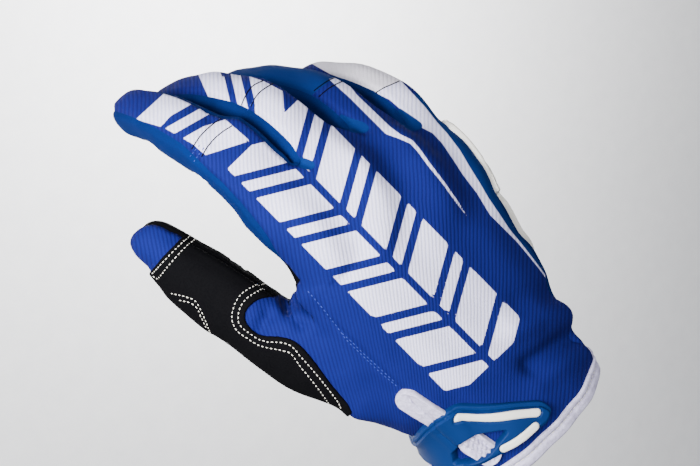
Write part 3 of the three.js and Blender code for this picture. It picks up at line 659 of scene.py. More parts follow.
@dataclass(frozen=True)
class FlatView:
    """A straight view with the fingers up, which an overlay's outline is drawn in."""

    toward: Triple

    def axes(self) -> tuple[Array, Array, Array]:
        """Returns the unit directions right, up and towards the viewer."""
        toward = unit(np.array(self.toward, float))
        right = unit(np.cross([0.0, 1.0, 0.0], toward))
        return right, np.cross(toward, right), toward

    def place(self, points: Array) -> Array:
        """Returns places across and up the view, and the distance towards the viewer."""
        return points @ np.stack(self.axes(), axis=1)


def line_distance(places: Array, line: Array | Outline, closed: bool = False) -> Array:
    """Returns the distance of flat places from a line of straight runs."""
    line = np.asarray(line)
    ends = np.roll(line, -1, axis=0) if closed else line[1:]
    starts = line if closed else line[:-1]
    best = np.full(len(places), np.inf)
    for a, b in zip(starts, ends):
        run = b - a
        t = np.clip(((places - a) @ run) / max(float(run @ run), 1e-9), 0, 1)
        best = np.minimum(best, np.linalg.norm(places - a - t[:, None] * run, axis=1))
    return best


def line_coordinates(places: Array, line: Array | Outline) -> tuple[Array, Array]:
    """Returns how far along a line each place is, and how far left of it; the end pieces go on straight."""
    starts, ends = np.asarray(line)[:-1], np.asarray(line)[1:]
    lengths = np.linalg.norm(ends - starts, axis=1)
    before = np.concatenate([[0], np.cumsum(lengths)[:-1]])
    best = np.full(len(places), np.inf)
    along, across = np.zeros(len(places)), np.zeros(len(places))
    for k, (start, end) in enumerate(zip(starts, ends)):
        ahead = (end - start) / lengths[k]
        x = (places - start) @ ahead
        y = (places - start) @ np.array([-ahead[1], ahead[0]])
        low = -np.inf if k == 0 else 0.0
        high = np.inf if k == len(starts) - 1 else lengths[k]
        away = np.hypot(x - np.clip(x, low, high), y)
        nearer = away < best
        best[nearer] = away[nearer]
        along[nearer], across[nearer] = before[k] + x[nearer], y[nearer]
    return along, across


def inside_distance(places: Array, outline: Array | Outline) -> Array:
    """Returns the distance of flat places from an outline, positive inside."""
    outline = np.asarray(outline)
    inside = np.zeros(len(places), bool)
    for a, b in zip(outline, np.roll(outline, -1, axis=0)):
        crosses = (a[1] > places[:, 1]) != (b[1] > places[:, 1])
        if a[1] != b[1]:
            x = a[0] + (places[:, 1] - a[1]) * (b[0] - a[0]) / (b[1] - a[1])
            inside ^= crosses & (places[:, 0] < x)
    return np.where(inside, 1.0, -1.0) * line_distance(places, outline, closed=True)


def spline(points: Sequence[Sequence[float]], steps: int) -> Array:
    """Returns a smooth curve through points, with a number of steps in each run."""
    p = np.array(points, float)
    curve = []
    for i in range(len(p) - 1):
        p0, p1, p2, p3 = p[max(i - 1, 0)], p[i], p[i + 1], p[min(i + 2, len(p) - 1)]
        v0, v1 = (p2 - p0) / 2, (p3 - p1) / 2
        cubic, square = 2 * (p1 - p2) + v0 + v1, 3 * (p2 - p1) - 2 * v0 - v1
        for k in range(steps):
            t = k / steps
            curve.append(((cubic * t + square) * t + v0) * t + p1)
    return np.array([*curve, p[-1]])


def rounded(corners: Array, radius: float, steps: int) -> Array:
    """Returns an outline with each corner cut to a curve inside its two sides."""
    points = []
    for i, corner in enumerate(corners):
        before, after = corners[i - 1] - corner, corners[(i + 1) % len(corners)] - corner
        reach = min(radius, np.linalg.norm(before) * CORNER_SHARE, np.linalg.norm(after) * CORNER_SHARE)
        start, end = corner + unit(before) * reach, corner + unit(after) * reach
        for k in range(steps + 1):
            t = k / steps
            points.append(start * (1 - t) ** 2 + corner * 2 * t * (1 - t) + end * t * t)
    return np.array(points)


def strip(ends: Array, width: float, steps: int) -> Array:
    """Returns the outline of a strip between two places, with round ends."""
    along = ends[1] - ends[0]
    start = np.arctan2(along[1], along[0]) + np.pi / 2
    points = []
    for side, end in enumerate(ends):
        for k in range(2 * steps + 1):
            angle = start + side * np.pi + k / (2 * steps) * np.pi
            points.append(end + np.array([np.cos(angle), np.sin(angle)]) * width / 2)
    return np.array(points)


@dataclass(frozen=True)
class Fold:
    """A soft fold in the cloth: its line on the print plane, height, below 0 in a valley, and half width."""

    line: Outline
    height: float
    width: float


FOLDS = (
    Fold(((90.4, -33.3), (80.7, -30.0), (70.4, -31.1), (60.0, -35.9)), 3.0, 5.5),
    Fold(((80.0, -21.1), (72.2, -21.9), (63.0, -26.3)), -1.2, 5.0),
    Fold(((85.9, -37.0), (80.0, -39.6), (74.8, -43.3), (67.4, -48.5)), -3.6, 3.8),
    Fold(((88.9, -44.1), (80.0, -47.8), (70.4, -55.9)), 0.9, 4.0),
    Fold(((-30.4, -30.7), (-32.6, -33.7), (-33.3, -36.3)), -2.2, 2.8),
    Fold(((-23.7, -24.8), (-22.6, -27.8), (-20.7, -31.5), (-18.5, -34.4)), -2.0, 2.4),
    Fold(((-20.0, -24.1), (-17.0, -28.5), (-11.9, -34.4)), 1.4, 3.4),
    Fold(((-27.4, -25.6), (-26.7, -30.0), (-23.7, -34.4)), 0.7, 2.6),
    Fold(((-15.6, -33.0), (-8.9, -41.9), (-3.7, -49.3)), -0.8, 3.4),
    Fold(((-7.4, -31.5), (-1.5, -39.6), (0.7, -47.8)), 0.8, 4.5),
    Fold(((-7.4, -43.3), (-0.7, -53.0), (5.9, -61.9)), 0.7, 4.0),
    Fold(((8.1, -55.9), (12.6, -61.1), (15.6, -67.8)), -0.8, 3.0),
    Fold(((33.3, -58.9), (44.4, -53.7), (55.6, -50.0)), 0.6, 5.0),
    Fold(((18.5, -47.0), (29.6, -51.5), (37.8, -58.9)), -0.6, 5.0),
    Fold(((-53.3, 44.8), (-50.4, 38.1), (-51.1, 33.7)), -0.5, 1.6),
    Fold(((-2.2, 42.2), (1.9, 40.0), (5.2, 38.5)), -1.8, 1.9),
    Fold(((17.8, 44.1), (21.5, 41.7), (24.8, 39.6)), -1.8, 1.9),
    Fold(((-18.9, 27.0), (-16.3, 25.9), (-14.4, 25.2)), -1.5, 1.7),
    Fold(((-37.0, 50.0), (-32.6, 53.0), (-29.6, 55.9)), -0.5, 1.6),
    Fold(((-61.1, 38.9), (-57.0, 34.4), (-55.6, 30.0)), 0.4, 2.4),
)


@dataclass(frozen=True)
class Pull:
    """A soft pull of the surface on the print plane: its line, how far right and up, and its half width."""

    line: Outline
    move: tuple[float, float]
    width: float
    parts: tuple[Part, ...] = ()


PULLS = (
    Pull(((-22.2, -15.6), (-14.8, -22.6)), (-4.8, 1.2), 8.5),
    Pull(((-37.8, 0.4), (-30.4, -7.0)), (-2.2, -1.0), 7.0),
    Pull(((-42.2, 38.1), (-33.3, 33.0), (-25.2, 28.5)), (1.4, 2.8), 4.5, (Part.INDEX,)),
    Pull(((-81.1, -1.9), (-79.6, -6.3)), (-1.3, 0.0), 5.0, (Part.THUMB,)),
    Pull(((-64.4, -21.9), (-55.6, -35.9)), (-0.8, -0.8), 6.0, (Part.THUMB,)),
    Pull(((-79.3, -7.8), (-75.6, -12.2)), (0.9, 0.7), 3.2, (Part.THUMB,)),
    Pull(((4.4, -67.0), (13.3, -70.0), (19.3, -73.0)), (-1.8, -3.8), 6.5),
    Pull(((76.7, -18.1), (75.6, -23.3)), (-1.3, 0.0), 4.0),
    Pull(((37.8, 44.8), (45.2, 37.4), (53.3, 27.0), (58.1, 18.1), (63.0, 10.0), (66.7, 3.3)),
         (-2.2, -1.5), 6.0),
    Pull(((87.4, -41.5), (89.6, -44.8)), (0.6, 2.2), 4.5),
)


@dataclass(frozen=True)
class SeamMove:
    """A place where the worn cloth has crept round: an outline of the print plane that goes to a panel."""

    outline: Outline
    panel: Panel
    sources: tuple[Panel, ...]
    parts: tuple[Part, ...]


SEAM_MOVES = (
    SeamMove((
        (-91.1, 50.7), (-87.0, 47.4), (-79.6, 44.6), (-74.1, 41.9), (-67.6, 37.2), (-62.0, 32.2),
        (-56.5, 27.0), (-51.9, 22.2), (-47.2, 18.0), (-44.1, 14.8), (-40.7, 11.3), (-36.1, 5.7),
        (-32.4, 1.1), (-30.0, -2.6), (-28.5, -6.3), (-25.6, -9.6), (-22.2, -13.0), (-19.3, -17.8),
        (-24.4, -21.5), (-27.4, -24.8), (-18.5, -38.1), (-3.7, -43.3), (0.7, -24.8), (-7.4, -2.6),
        (-22.2, 15.9), (-42.2, 30.7), (-59.3, 41.9), (-77.8, 52.2),
    ), Panel.BACK, (Panel.INDEX_SIDE, Panel.PALM), (Part.HAND, Part.INDEX)),
    SeamMove((
        (-34.1, -4.8), (-29.6, -6.3), (-26.3, -9.4), (-23.7, -11.5), (-21.5, -14.4), (-18.9, -17.8),
        (-20.0, -19.6), (-25.9, -21.1), (-37.0, -10.7),
    ), Panel.PALM, (Panel.INDEX_SIDE, Panel.BACK), (Part.HAND, Part.INDEX)),
    SeamMove((
        (-28.9, -24.4), (-24.4, -22.2), (-18.5, -18.9), (-7.4, -28.5), (-3.7, -39.6), (-18.5, -38.1),
        (-25.9, -31.5),
    ), Panel.THUMB_BACK, (Panel.THUMB_PALM,), (Part.THUMB, Part.HAND)),
    SeamMove((
        (-88.9, 6.7), (-79.3, 2.8), (-74.1, 2.6), (-68.5, 1.5), (-63.7, 0.0), (-60.4, -2.2), (-73.3, -15.6),
        (-88.9, -13.7),
    ), Panel.THUMB_BACK, (Panel.THUMB_PALM,), (Part.THUMB,)),
)


@dataclass
class Skin:
    """The fine outer surface of the whole glove, with every face's place in the coarse net."""

    points: Array
    faces: Array
    labels: Array
    panels: Array
    normals: Array
    lines: dict[Part, CentreLine]
    seam_dip: float = 0.5
    seam_reach: float = 1.0
    seam_swell: float = 0.18
    swell_at: float = 2.4
    swell_reach: float = 1.3
    seam_slide: float = 1.6
    seam_lean: float = 0.15
    slope_step: float = 0.05
    crease_depth: float = 0.7
    crease_reach: float = 1.5
    crease_apart: float = 3.2
    crease_under: tuple[float, float] = (1.0, 6.0)
    cloth_unrest: float = 0.16
    unrest_waves: tuple[Triple, ...] = ((0.31, 0.19, 0.0), (0.0, 0.23, -0.17), (0.4, 0.12, 0.27))
    web_line: Outline = ((-25.9, -24.1), (-22.2, -26.3), (-17.0, -29.3), (-12.6, -33.0))
    web_reach: float = 5.5
    web_rounds: int = 24
    web_evenness: float = 1.6
    web: Array | None = None
    tree: BVHTree | None = None

    @classmethod
    def build(cls) -> Skin:
        """Returns the fitted and refined surface of the hand's net."""
        net = HandNet()
        wanted, faces = np.array(net.points), np.array(net.faces)
        first = Topology(faces, len(wanted))
        points = wanted.copy()
        for _ in range(FIT_ROUNDS):
            points = points + wanted - first.limit(points)
        labels = np.array(net.labels)
        panels = np.array([panel_index(*label) for label in net.labels])
        for _ in range(FINE_LEVEL):
            points, faces = Topology(faces, len(points)).refine(points)
            labels, panels = np.repeat(labels, 4, axis=0), np.repeat(panels, 4)
        return cls(points, faces, labels, panels, point_normals(points, faces), net.lines)

    def on_parts(self, parts: Sequence[Part]) -> Array:
        """Returns which points belong to faces of the given parts."""
        on = np.zeros(len(self.points), bool)
        on[self.faces[np.isin(self.labels[:, 0], [part.value for part in parts])].ravel()] = True
        return on

    def seam_distance(self) -> Array:
        """Returns every point's distance from the nearest seam between panels."""
        lowest = np.full(len(self.points), len(PANELS))
        highest = np.full(len(self.points), -1)
        np.minimum.at(lowest, self.faces.ravel(), np.repeat(self.panels, 4))
        np.maximum.at(highest, self.faces.ravel(), np.repeat(self.panels, 4))
        on_seam = np.flatnonzero(lowest != highest)
        tree = KDTree(len(on_seam))
        for i, index in enumerate(on_seam):
            tree.insert(self.points[index], i)
        tree.balance()
        return np.array([tree.find(point)[2] for point in self.points])

    def sole_creases(self) -> Array:
        """Returns the depth of the creases that the bent joints press into the palm side."""
        depth = np.zeros(len(self.points))
        for part, line in self.lines.items():
            used = np.flatnonzero(self.on_parts((part,)))
            away = np.linalg.norm(self.points[used][:, None] - line.point[None, ::2], axis=2)
            nearest = away.argmin(axis=1)
            along = line.distance[::2][nearest]
            under = ((self.points[used] - line.point[::2][nearest]) * line.up[::2][nearest]).sum(axis=1)
            weight = self.crease_depth * smoothstep(-under, *self.crease_under)
            bones = THUMB.bones if part is Part.THUMB else next(f.bones for f in FINGERS if f.part is part)
            for joint in (bones[0], bones[0] + bones[1]):
                for side in (-1, 0, 1):
                    gap = along - joint * line.length - side * self.crease_apart
                    depth[used] += weight * bell(gap, self.crease_reach)
        return depth

    def pull(self) -> None:
        """Pulls the surface to where the worn glove's outline is."""
        places = VIEW.project(self.points)
        moved = np.zeros_like(self.points)
        for pull in PULLS:
            weight = bell(line_distance(places, pull.line), pull.width)
            if pull.parts:
                weight = weight * self.on_parts(pull.parts)
            shift = np.array(VIEW.right) * pull.move[0] - np.array(VIEW.down) * pull.move[1]
            moved += weight[:, None] * shift
        self.points = self.points + moved
        self.normals = point_normals(self.points, self.faces)

    def move_seams(self) -> None:
        """Gives faces near a seam to the other panel, and slides the seam's points onto the new line."""
        for move in SEAM_MOVES:
            centres = self.points[self.faces].mean(axis=1)
            facing = VIEW.facing(centres, self.normals[self.faces].mean(axis=1))
            open_faces = np.isin(self.panels, [PANELS.index(panel) for panel in move.sources])
            chosen = open_faces & np.isin(self.labels[:, 0], [part.value for part in move.parts])
            chosen &= (facing > 0.0) & (inside_distance(VIEW.project(centres), move.outline) > 0)
            self.panels[chosen] = PANELS.index(move.panel)
            edge = np.intersect1d(self.faces[chosen], self.faces[open_faces & ~chosen])
            places = VIEW.project(self.points[edge])
            gap = inside_distance(places, move.outline)
            slope = np.stack([inside_distance(places + axis * self.slope_step, move.outline) - gap
                              for axis in np.eye(2)], axis=1)
            slope /= np.maximum(np.linalg.norm(slope, axis=1), 1e-9)[:, None]
            for index, place, away, uphill in zip(edge, places, gap, slope):
                ray = VIEW.ray(place - away * uphill)
                lean = ray @ self.normals[index]
                if abs(lean) >= self.seam_lean and abs(away) <= self.seam_slide:
                    start = np.array(VIEW.position)
                    reach = (self.points[index] - start) @ self.normals[index] / lean
                    self.points[index] = start + reach * ray
        self.normals = point_normals(self.points, self.faces)

    def relax(self) -> None:
        """Evens the cloth out between thumb and hand, where it runs on without a seam."""
        self.web = bell(line_distance(VIEW.project(self.points), self.web_line), self.web_reach)
        self.web *= smoothstep(VIEW.facing(self.points, self.normals), 0.0, 0.3)
        pairs = np.stack([self.faces, np.roll(self.faces, -1, axis=1)], axis=2).reshape(-1, 2)
        count = np.bincount(pairs[:, 0], minlength=len(self.points))
        for _ in range(self.web_rounds):
            total = np.stack([np.bincount(pairs[:, 0], self.points[pairs[:, 1], k], len(self.points))
                              for k in range(3)], axis=1)
            self.points += self.web[:, None] * (total / count[:, None] - self.points) / 2
        self.normals = point_normals(self.points, self.faces)

    def dress(self) -> None:
        """Moves the surface for seams, folds and creases, and prepares it for casting."""
        self.pull()
        self.move_seams()
        self.relax()
        distance = self.seam_distance()
        height = self.seam_swell * bell(distance - self.swell_at, self.swell_reach)
        height -= self.seam_dip * bell(distance, self.seam_reach)
        height *= 1 - np.clip(self.web_evenness * self.web, 0, 1)
        places = VIEW.project(self.points)
        facing = smoothstep(VIEW.facing(self.points, self.normals), -0.05, 0.25)
        for fold in FOLDS:
            height += fold.height * facing * bell(line_distance(places, fold.line), fold.width)
        height -= self.sole_creases()
        first, second, third = np.array(self.unrest_waves) @ self.points.T
        height += self.cloth_unrest * (np.sin(first + 1) * np.sin(second) + np.sin(third))
        self.points = self.points + self.normals * height[:, None]
        self.normals = point_normals(self.points, self.faces)
        self.tree = BVHTree.FromPolygons(self.points.tolist(), self.faces.tolist())

    def lay(self, line: Outline, lift: float, over_wrap: float = 0.0, pitch: float = 0.6,
            jump: float = 4.8) -> list[Array]:
        """Lays a line of the print plane on the surface.

        Args:
            line: Places on the print plane, joined by a smooth curve.
            lift: Height over the surface.
            over_wrap: Extra height on the thumb's back, which the wrap covers.
            pitch: Distance between the laid points.
            jump: Distance between laid points that ends a run.

        Returns:
            Runs of points, broken where the surface is missed or jumps.
        """
        curve = spline(line, 12)
        length = np.concatenate([[0], np.cumsum(np.linalg.norm(np.diff(curve, axis=0), axis=1))])
        at = np.arange(0, length[-1], pitch)
        runs: list[list[Array]] = [[]]
        for place in np.stack([np.interp(at, length, curve[:, k]) for k in range(2)], axis=1):
            hit, normal, face, _ = self.tree.ray_cast(Vector(VIEW.position), Vector(VIEW.ray(place)))
            if hit is None:
                runs.append([])
                continue
            wrapped = self.panels[face] == PANELS.index(Panel.THUMB_BACK)
            point = np.array(hit) + np.array(normal) * (lift + over_wrap * wrapped)
            if runs[-1] and np.linalg.norm(point - runs[-1][-1]) > jump:
                runs.append([])
            runs[-1].append(point)
        return [np.array(run) for run in runs if len(run) > 2]

    def triangles(self, chosen: Array) -> Array:
        """Returns chosen faces of the surface as triangles."""
        quads = self.faces[chosen]
        return np.vstack([quads[:, [0, 1, 2]], quads[:, [0, 2, 3]]])


def linear(code: str) -> tuple[float, float, float, float]:
    """Returns the linear colour of an sRGB hex code."""
    values = [int(code[i:i + 2], 16) / 255 for i in (1, 3, 5)]
    return (*(v / 12.92 if v <= 0.04045 else ((v + 0.055) / 1.055) ** 2.4 for v in values), 1.0)


def add_node(tree: NodeTree, kind: str, inputs: dict[int | str, object] | None = None,
             **settings: object) -> Node:
    """Adds a node with its settings and links.

    Args:
        tree: The tree that it goes in.
        kind: Blender's name of the node.
        inputs: Values, or other nodes' outputs, by input name or number.
        settings: The node's own properties.

    Returns:
        The node.
    """
    node = tree.nodes.new(kind)
    for name, value in settings.items():
        setattr(node, name, value)
    for key, value in (inputs or {}).items():
        if isinstance(value, NodeSocket):
            tree.links.new(value, node.inputs[key])
        else:
            node.inputs[key].default_value = value
    return node


@dataclass(frozen=True)
class Finish:
    """What every finish shares: name, colour, roughness and shine, and how deep its pattern is pressed."""

    label: str
    color: str
    roughness: float
    specular: float
    strength: float = 0.5
    height_mm: float = 0.05

    def material(self) -> Material:
        """Returns the finished material."""
        material = bpy.data.materials.new(self.label)
        material.use_nodes = True
        tree = material.node_tree
        tree.nodes.clear()
        shader = add_node(tree, "ShaderNodeBsdfPrincipled", {
            "Base Color": linear(self.color), "Roughness": self.roughness,
            "Specular IOR Level": self.specular})
        add_node(tree, "ShaderNodeOutputMaterial", {"Surface": shader.outputs[0]})
        color, height = self.pattern(tree)
        tree.links.new(color, shader.inputs["Base Color"])
        if height is not None:
            bump = add_node(tree, "ShaderNodeBump", {
                "Strength": self.strength, "Distance": self.height_mm * MM, "Height": height})
            tree.links.new(bump.outputs[0], shader.inputs["Normal"])
        return material

    def pattern(self, tree: NodeTree) -> tuple[NodeSocket, NodeSocket | None]:
        """Returns the pattern's colour and, where it is pressed in, its height; each finish has its own."""
        raise NotImplementedError

    @staticmethod
    def speckle(tree: NodeTree, size_mm: float) -> NodeSocket:
        """Returns noise of a real size over the object's own coordinates."""
        place = add_node(tree, "ShaderNodeTexCoord").outputs["Object"]
        noise = add_node(tree, "ShaderNodeTexNoise", {"Vector": place, "Scale": 1 / (size_mm * MM)})
        return noise.outputs["Fac"]


@dataclass(frozen=True)
class RibbedPolyester(Finish):
    """Ribbed polyester knit, dyed blue and printed: fine ridges that catch the light, between grooves
    coloured darker as painted shade.
    """

    strength: float = 0.8
    height_mm: float = 0.11
    # Painted shade: the knit's colour in the grooves between ribs
    groove: str = "#101451"
    print_white: str = "#E2E0FA"
    # Painted shade: the white print's colour in the grooves between ribs
    print_groove_shade: str = "#C3C2E6"
    plain: str = "#08265F"
    pale: str = "#D5D1DC"
    inside: str = "#0E1440"
    rib_mm: float = 1.5
    drift_mm: float = 9.0
    drift_share: float = 0.9
    edge_mm: float = 0.12
    # The knit's loops are about 0.15 wide and are drawn coarser, so that they show
    loop_mm: float = 0.35
    loop_share: float = 0.5

    def pattern(self, tree: NodeTree) -> tuple[NodeSocket, NodeSocket | None]:
        """Returns the colour of ribs, print, plain bands and lining, with painted shade in the grooves, and
        the height of ribs and loops.
        """
        rib = add_node(tree, "ShaderNodeAttribute", attribute_name="rib").outputs["Fac"]
        drift = self.speckle(tree, self.drift_mm)
        bent = add_node(tree, "ShaderNodeMath", {0: drift, 1: self.drift_share, 2: rib},
                        operation="MULTIPLY_ADD")
        phase = add_node(tree, "ShaderNodeMath", {0: bent.outputs[0], 1: 2 * np.pi / self.rib_mm},
                         operation="MULTIPLY")
        wave = add_node(tree, "ShaderNodeMath", {0: phase.outputs[0]}, operation="SINE")
        ridge = add_node(tree, "ShaderNodeMapRange", {0: wave.outputs[0], 1: -1.0, 2: 0.5}).outputs[0]
        masks = {}
        for name in ("white", "plain", "pale"):
            mark = add_node(tree, "ShaderNodeAttribute", attribute_name=name).outputs["Fac"]
            mask = add_node(tree, "ShaderNodeMapRange", {0: mark, 1: -self.edge_mm, 2: self.edge_mm})
            masks[name] = mask.outputs[0]
        lining = add_node(tree, "ShaderNodeAttribute", attribute_name="inside").outputs["Fac"]
        # Knit and print take their groove colours where the ribs dip: painted shade in the grooves
        ink = add_node(tree, "ShaderNodeMix", {
            0: ridge, 6: linear(self.print_groove_shade), 7: linear(self.print_white)}, data_type="RGBA").outputs[2]
        color = linear(self.groove)
        layers = ((ridge, linear(self.color)), (masks["plain"], linear(self.plain)), (masks["white"], ink),
                  (masks["pale"], linear(self.pale)), (lining, linear(self.inside)))
        for share, over in layers:
            mix = add_node(tree, "ShaderNodeMix", {0: share, 6: color, 7: over}, data_type="RGBA")
            color = mix.outputs[2]
        loops = self.speckle(tree, self.loop_mm)
        tone = add_node(tree, "ShaderNodeMapRange", {0: loops, 1: 0.3, 2: 0.7, 3: 0.9, 4: 1.08}).outputs[0]
        toned = add_node(tree, "ShaderNodeMix", {0: 1.0, 6: color, 7: tone}, data_type="RGBA",
                         blend_type="MULTIPLY")
        ribbed = add_node(tree, "ShaderNodeMath", {0: 1.0, 1: masks["plain"]}, operation="SUBTRACT")
        ribs = add_node(tree, "ShaderNodeMath", {0: ridge, 1: ribbed.outputs[0]}, operation="MULTIPLY")
        height = add_node(tree, "ShaderNodeMath", {0: loops, 1: self.loop_share, 2: ribs.outputs[0]},
                          operation="MULTIPLY_ADD")
        return toned.outputs[2], height.outputs[0]


@dataclass(frozen=True)
class WovenCloth(Finish):
    """Smooth stretch knit or tape: an even matte cloth, slightly mottled, with a fine grain."""

    strength: float = 0.7
    height_mm: float = 0.06
    dark: str = "#041845"
    # The real grain is about 0.15 and is drawn coarser, so that it shows
    grain_mm: float = 0.45
    grain_share: float = 0.6
    mottle_mm: float = 14.0

    def pattern(self, tree: NodeTree) -> tuple[NodeSocket, NodeSocket | None]:
        """Returns the mottled colour and the height of the grain."""
        mottle = self.speckle(tree, self.mottle_mm)
        grain = self.speckle(tree, self.grain_mm)
        amount = add_node(tree, "ShaderNodeMath", {0: grain, 1: self.grain_share, 2: mottle},
                          operation="MULTIPLY_ADD")
        share = add_node(tree, "ShaderNodeMapRange", {0: amount.outputs[0], 1: 0.45, 2: 1.15}).outputs[0]
        color = add_node(tree, "ShaderNodeMix", {0: share, 6: linear(self.dark), 7: linear(self.color)},
                         data_type="RGBA")
        return color.outputs[2], grain


@dataclass(frozen=True)
class SyntheticLeather(Finish):
    """Microfibre synthetic leather: near black, with a fine pebbled grain and dull highlights."""

    light: str = "#0A0A0C"
    # Real pebbles are about 0.2 across and are drawn coarser, so that they show
    pebble_mm: float = 0.7
    cloud_mm: float = 5.0
    cloud_share: float = 0.7

    def pattern(self, tree: NodeTree) -> tuple[NodeSocket, NodeSocket | None]:
        """Returns the clouded colour and the height of the pebbles."""
        place = add_node(tree, "ShaderNodeTexCoord").outputs["Object"]
        pebbles = add_node(tree, "ShaderNodeTexVoronoi", {
            "Vector": place, "Scale": 1 / (self.pebble_mm * MM)}).outputs["Distance"]
        share = add_node(tree, "ShaderNodeMath", {
            0: self.speckle(tree, self.cloud_mm), 1: self.cloud_share, 2: pebbles}, operation="MULTIPLY_ADD")
        color = add_node(tree, "ShaderNodeMix", {
            0: share.outputs[0], 6: linear(self.color), 7: linear(self.light)}, data_type="RGBA")
        return color.outputs[2], pebbles


@dataclass(frozen=True)
class MouldedRubber(Finish):
    """Moulded thermoplastic rubber: smooth and satin, with faint ripples from the mould."""

    height_mm: float = 0.03
    shade: str = "#072554"
    tone_mm: float = 11.0
    ripple_mm: float = 1.6

    def pattern(self, tree: NodeTree) -> tuple[NodeSocket, NodeSocket | None]:
        """Returns the slightly changing colour and the height of the ripples."""
        tone = self.speckle(tree, self.tone_mm)
        color = add_node(tree, "ShaderNodeMix", {0: tone, 6: linear(self.shade), 7: linear(self.color)},
                         data_type="RGBA")
        return color.outputs[2], self.speckle(tree, self.ripple_mm)


@dataclass(frozen=True)
class SewingThread(Finish):
    """Bonded polyester thread: faintly shiny, with painted shade between its plies, laid on as fine noise."""

    # Painted shade: the colour between the plies
    ply_gap_shade: str = "#B9B7B0"
    # Real plies are about 0.1 thick and are drawn coarser, so that they show
    ply_mm: float = 0.3

    def pattern(self, tree: NodeTree) -> tuple[NodeSocket, NodeSocket | None]:
        """Returns the colour of the plies with painted shade between them; a thread is too thin for a height.
        """
        color = add_node(tree, "ShaderNodeMix", {
            0: self.speckle(tree, self.ply_mm), 6: linear(self.ply_gap_shade), 7: linear(self.color)}, data_type="RGBA")
        return color.outputs[2], None


class Palette:
    """All finishes of the glove, made once."""

    def __init__(self) -> None:
        """Makes the materials."""
        self.ribbed = RibbedPolyester("ribbed_polyester_knit", "#141A62", 0.85, 0.06).material()
        self.smooth = WovenCloth("smooth_stretch_knit", "#06225E", 0.85, 0.05).material()
        self.leather = SyntheticLeather("synthetic_leather", "#050507", 0.85, 0.02).material()
        self.tape = WovenCloth("binding_tape", "#DAD6F2", 0.85, 0.15, height_mm=0.14, dark="#A59EBA",
                               grain_mm=0.6, mottle_mm=2.2).material()
        self.white_rubber = MouldedRubber("white_moulded_rubber", "#F8F6EE", 0.42, 0.3,
                                          shade="#EDEAE0").material()
        self.blue_rubber = MouldedRubber("blue_moulded_rubber", "#072C62", 0.5, 0.12).material()
        self.pale_thread = SewingThread("pale_thread", "#FBF8EE", 0.6, 0.2, ply_gap_shade="#CFCABC").material()
        self.blue_thread = SewingThread("blue_thread", "#3A52B4", 0.6, 0.2, ply_gap_shade="#141C6A").material()
        # Near black lines in the finger creases: painted shade
        self.painted_crease_shade = SewingThread("painted_crease_shade", "#0A0A14", 0.7, 0.05, ply_gap_shade="#050508").material()


def make_mesh(name: str, points: Array, faces: Sequence[Sequence[int]], material: Material,
              marks: dict[str, Array] | None = None, sharp_degrees: float = 50.0) -> Object:
    """Makes a smooth-shaded piece.

    Args:
        name: The piece's name.
        points: Places in millimetres.
        faces: Corner lists, facing out.
        material: Its finish.
        marks: Numbers for each point, by attribute name.
        sharp_degrees: Edges that turn more than this stay sharp.

    Returns:
        The object, linked to the scene.
    """
    mesh = bpy.data.meshes.new(name)
    mesh.from_pydata((points * MM).tolist(), [], [tuple(map(int, face)) for face in faces])
    mesh.validate()
    for mark, values in (marks or {}).items():
        attribute = mesh.attributes.new(mark, "FLOAT", "POINT")
        attribute.data.foreach_set("value", values.astype(np.float32))
    mesh.polygons.foreach_set("use_smooth", np.ones(len(mesh.polygons), bool))
    mesh.set_sharp_from_angle(angle=np.radians(sharp_degrees))
    mesh.materials.append(material)
    piece = bpy.data.objects.new(name, mesh)
    bpy.context.scene.collection.objects.link(piece)
    return piece


def rim_edges(faces: Array) -> Array:
    """Returns the directed edges that only one face uses."""
    edges = np.stack([faces, np.roll(faces, -1, axis=1)], axis=2).reshape(-1, 2)
    key = np.sort(edges, axis=1)
    _, inverse, used = np.unique(key, axis=0, return_inverse=True, return_counts=True)
    return edges[used[inverse.ravel()] == 1]


def used_only(points: Array, faces: Array) -> tuple[Array, Array]:
    """Returns the points that faces use, and the faces counted anew."""
    used, inverse = np.unique(faces, return_inverse=True)
    return points[used], inverse.reshape(faces.shape)


def dress_piece(piece: Object, node: str) -> None:
    """Puts a piece on the glove's body in place of its solid."""
    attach(piece, "root")
    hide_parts(node)
    LOG.info("%s: %d faces in place of %s", piece.name, len(piece.data.polygons), node)


@dataclass
class SewnPanel:
    """A cloth panel: the skin's faces between its seams, with a wall's thickness."""

    panel: Panel
    wall: float
    slot: str
    material: Material
    marks: Callable[[Skin, Array], dict[str, Array]] | None = None
    web_thinning: float = 1.4
    web_least: float = 0.1

    def build(self, skin: Skin) -> None:
        """Builds the panel from the skin and dresses its solid with it."""
        faces = skin.faces[skin.panels == PANELS.index(self.panel)]
        used, inverse = np.unique(faces, return_inverse=True)
        outer = inverse.reshape(faces.shape)
        count = len(used)
        points = skin.points[used]
        wall = self.wall * np.maximum(1 - self.web_thinning * skin.web[used], self.web_least)
        inner_points = points - skin.normals[used] * wall[:, None]
        rim = rim_edges(outer)
        walls = np.stack([rim[:, 1], rim[:, 0], rim[:, 0] + count, rim[:, 1] + count], axis=1)
        all_faces = np.vstack([outer, outer[:, ::-1] + count, walls])
        outer_marks = self.marks(skin, used) if self.marks else {}
        marks = {name: np.concatenate([values, values]) for name, values in outer_marks.items()}
        marks["inside"] = np.concatenate([np.zeros(count), np.ones(count)])
        piece = make_mesh(f"{self.panel.value}_cloth", np.vstack([points, inner_points]), all_faces,
                          self.material, marks)
        dress_piece(piece, self.panel.value)


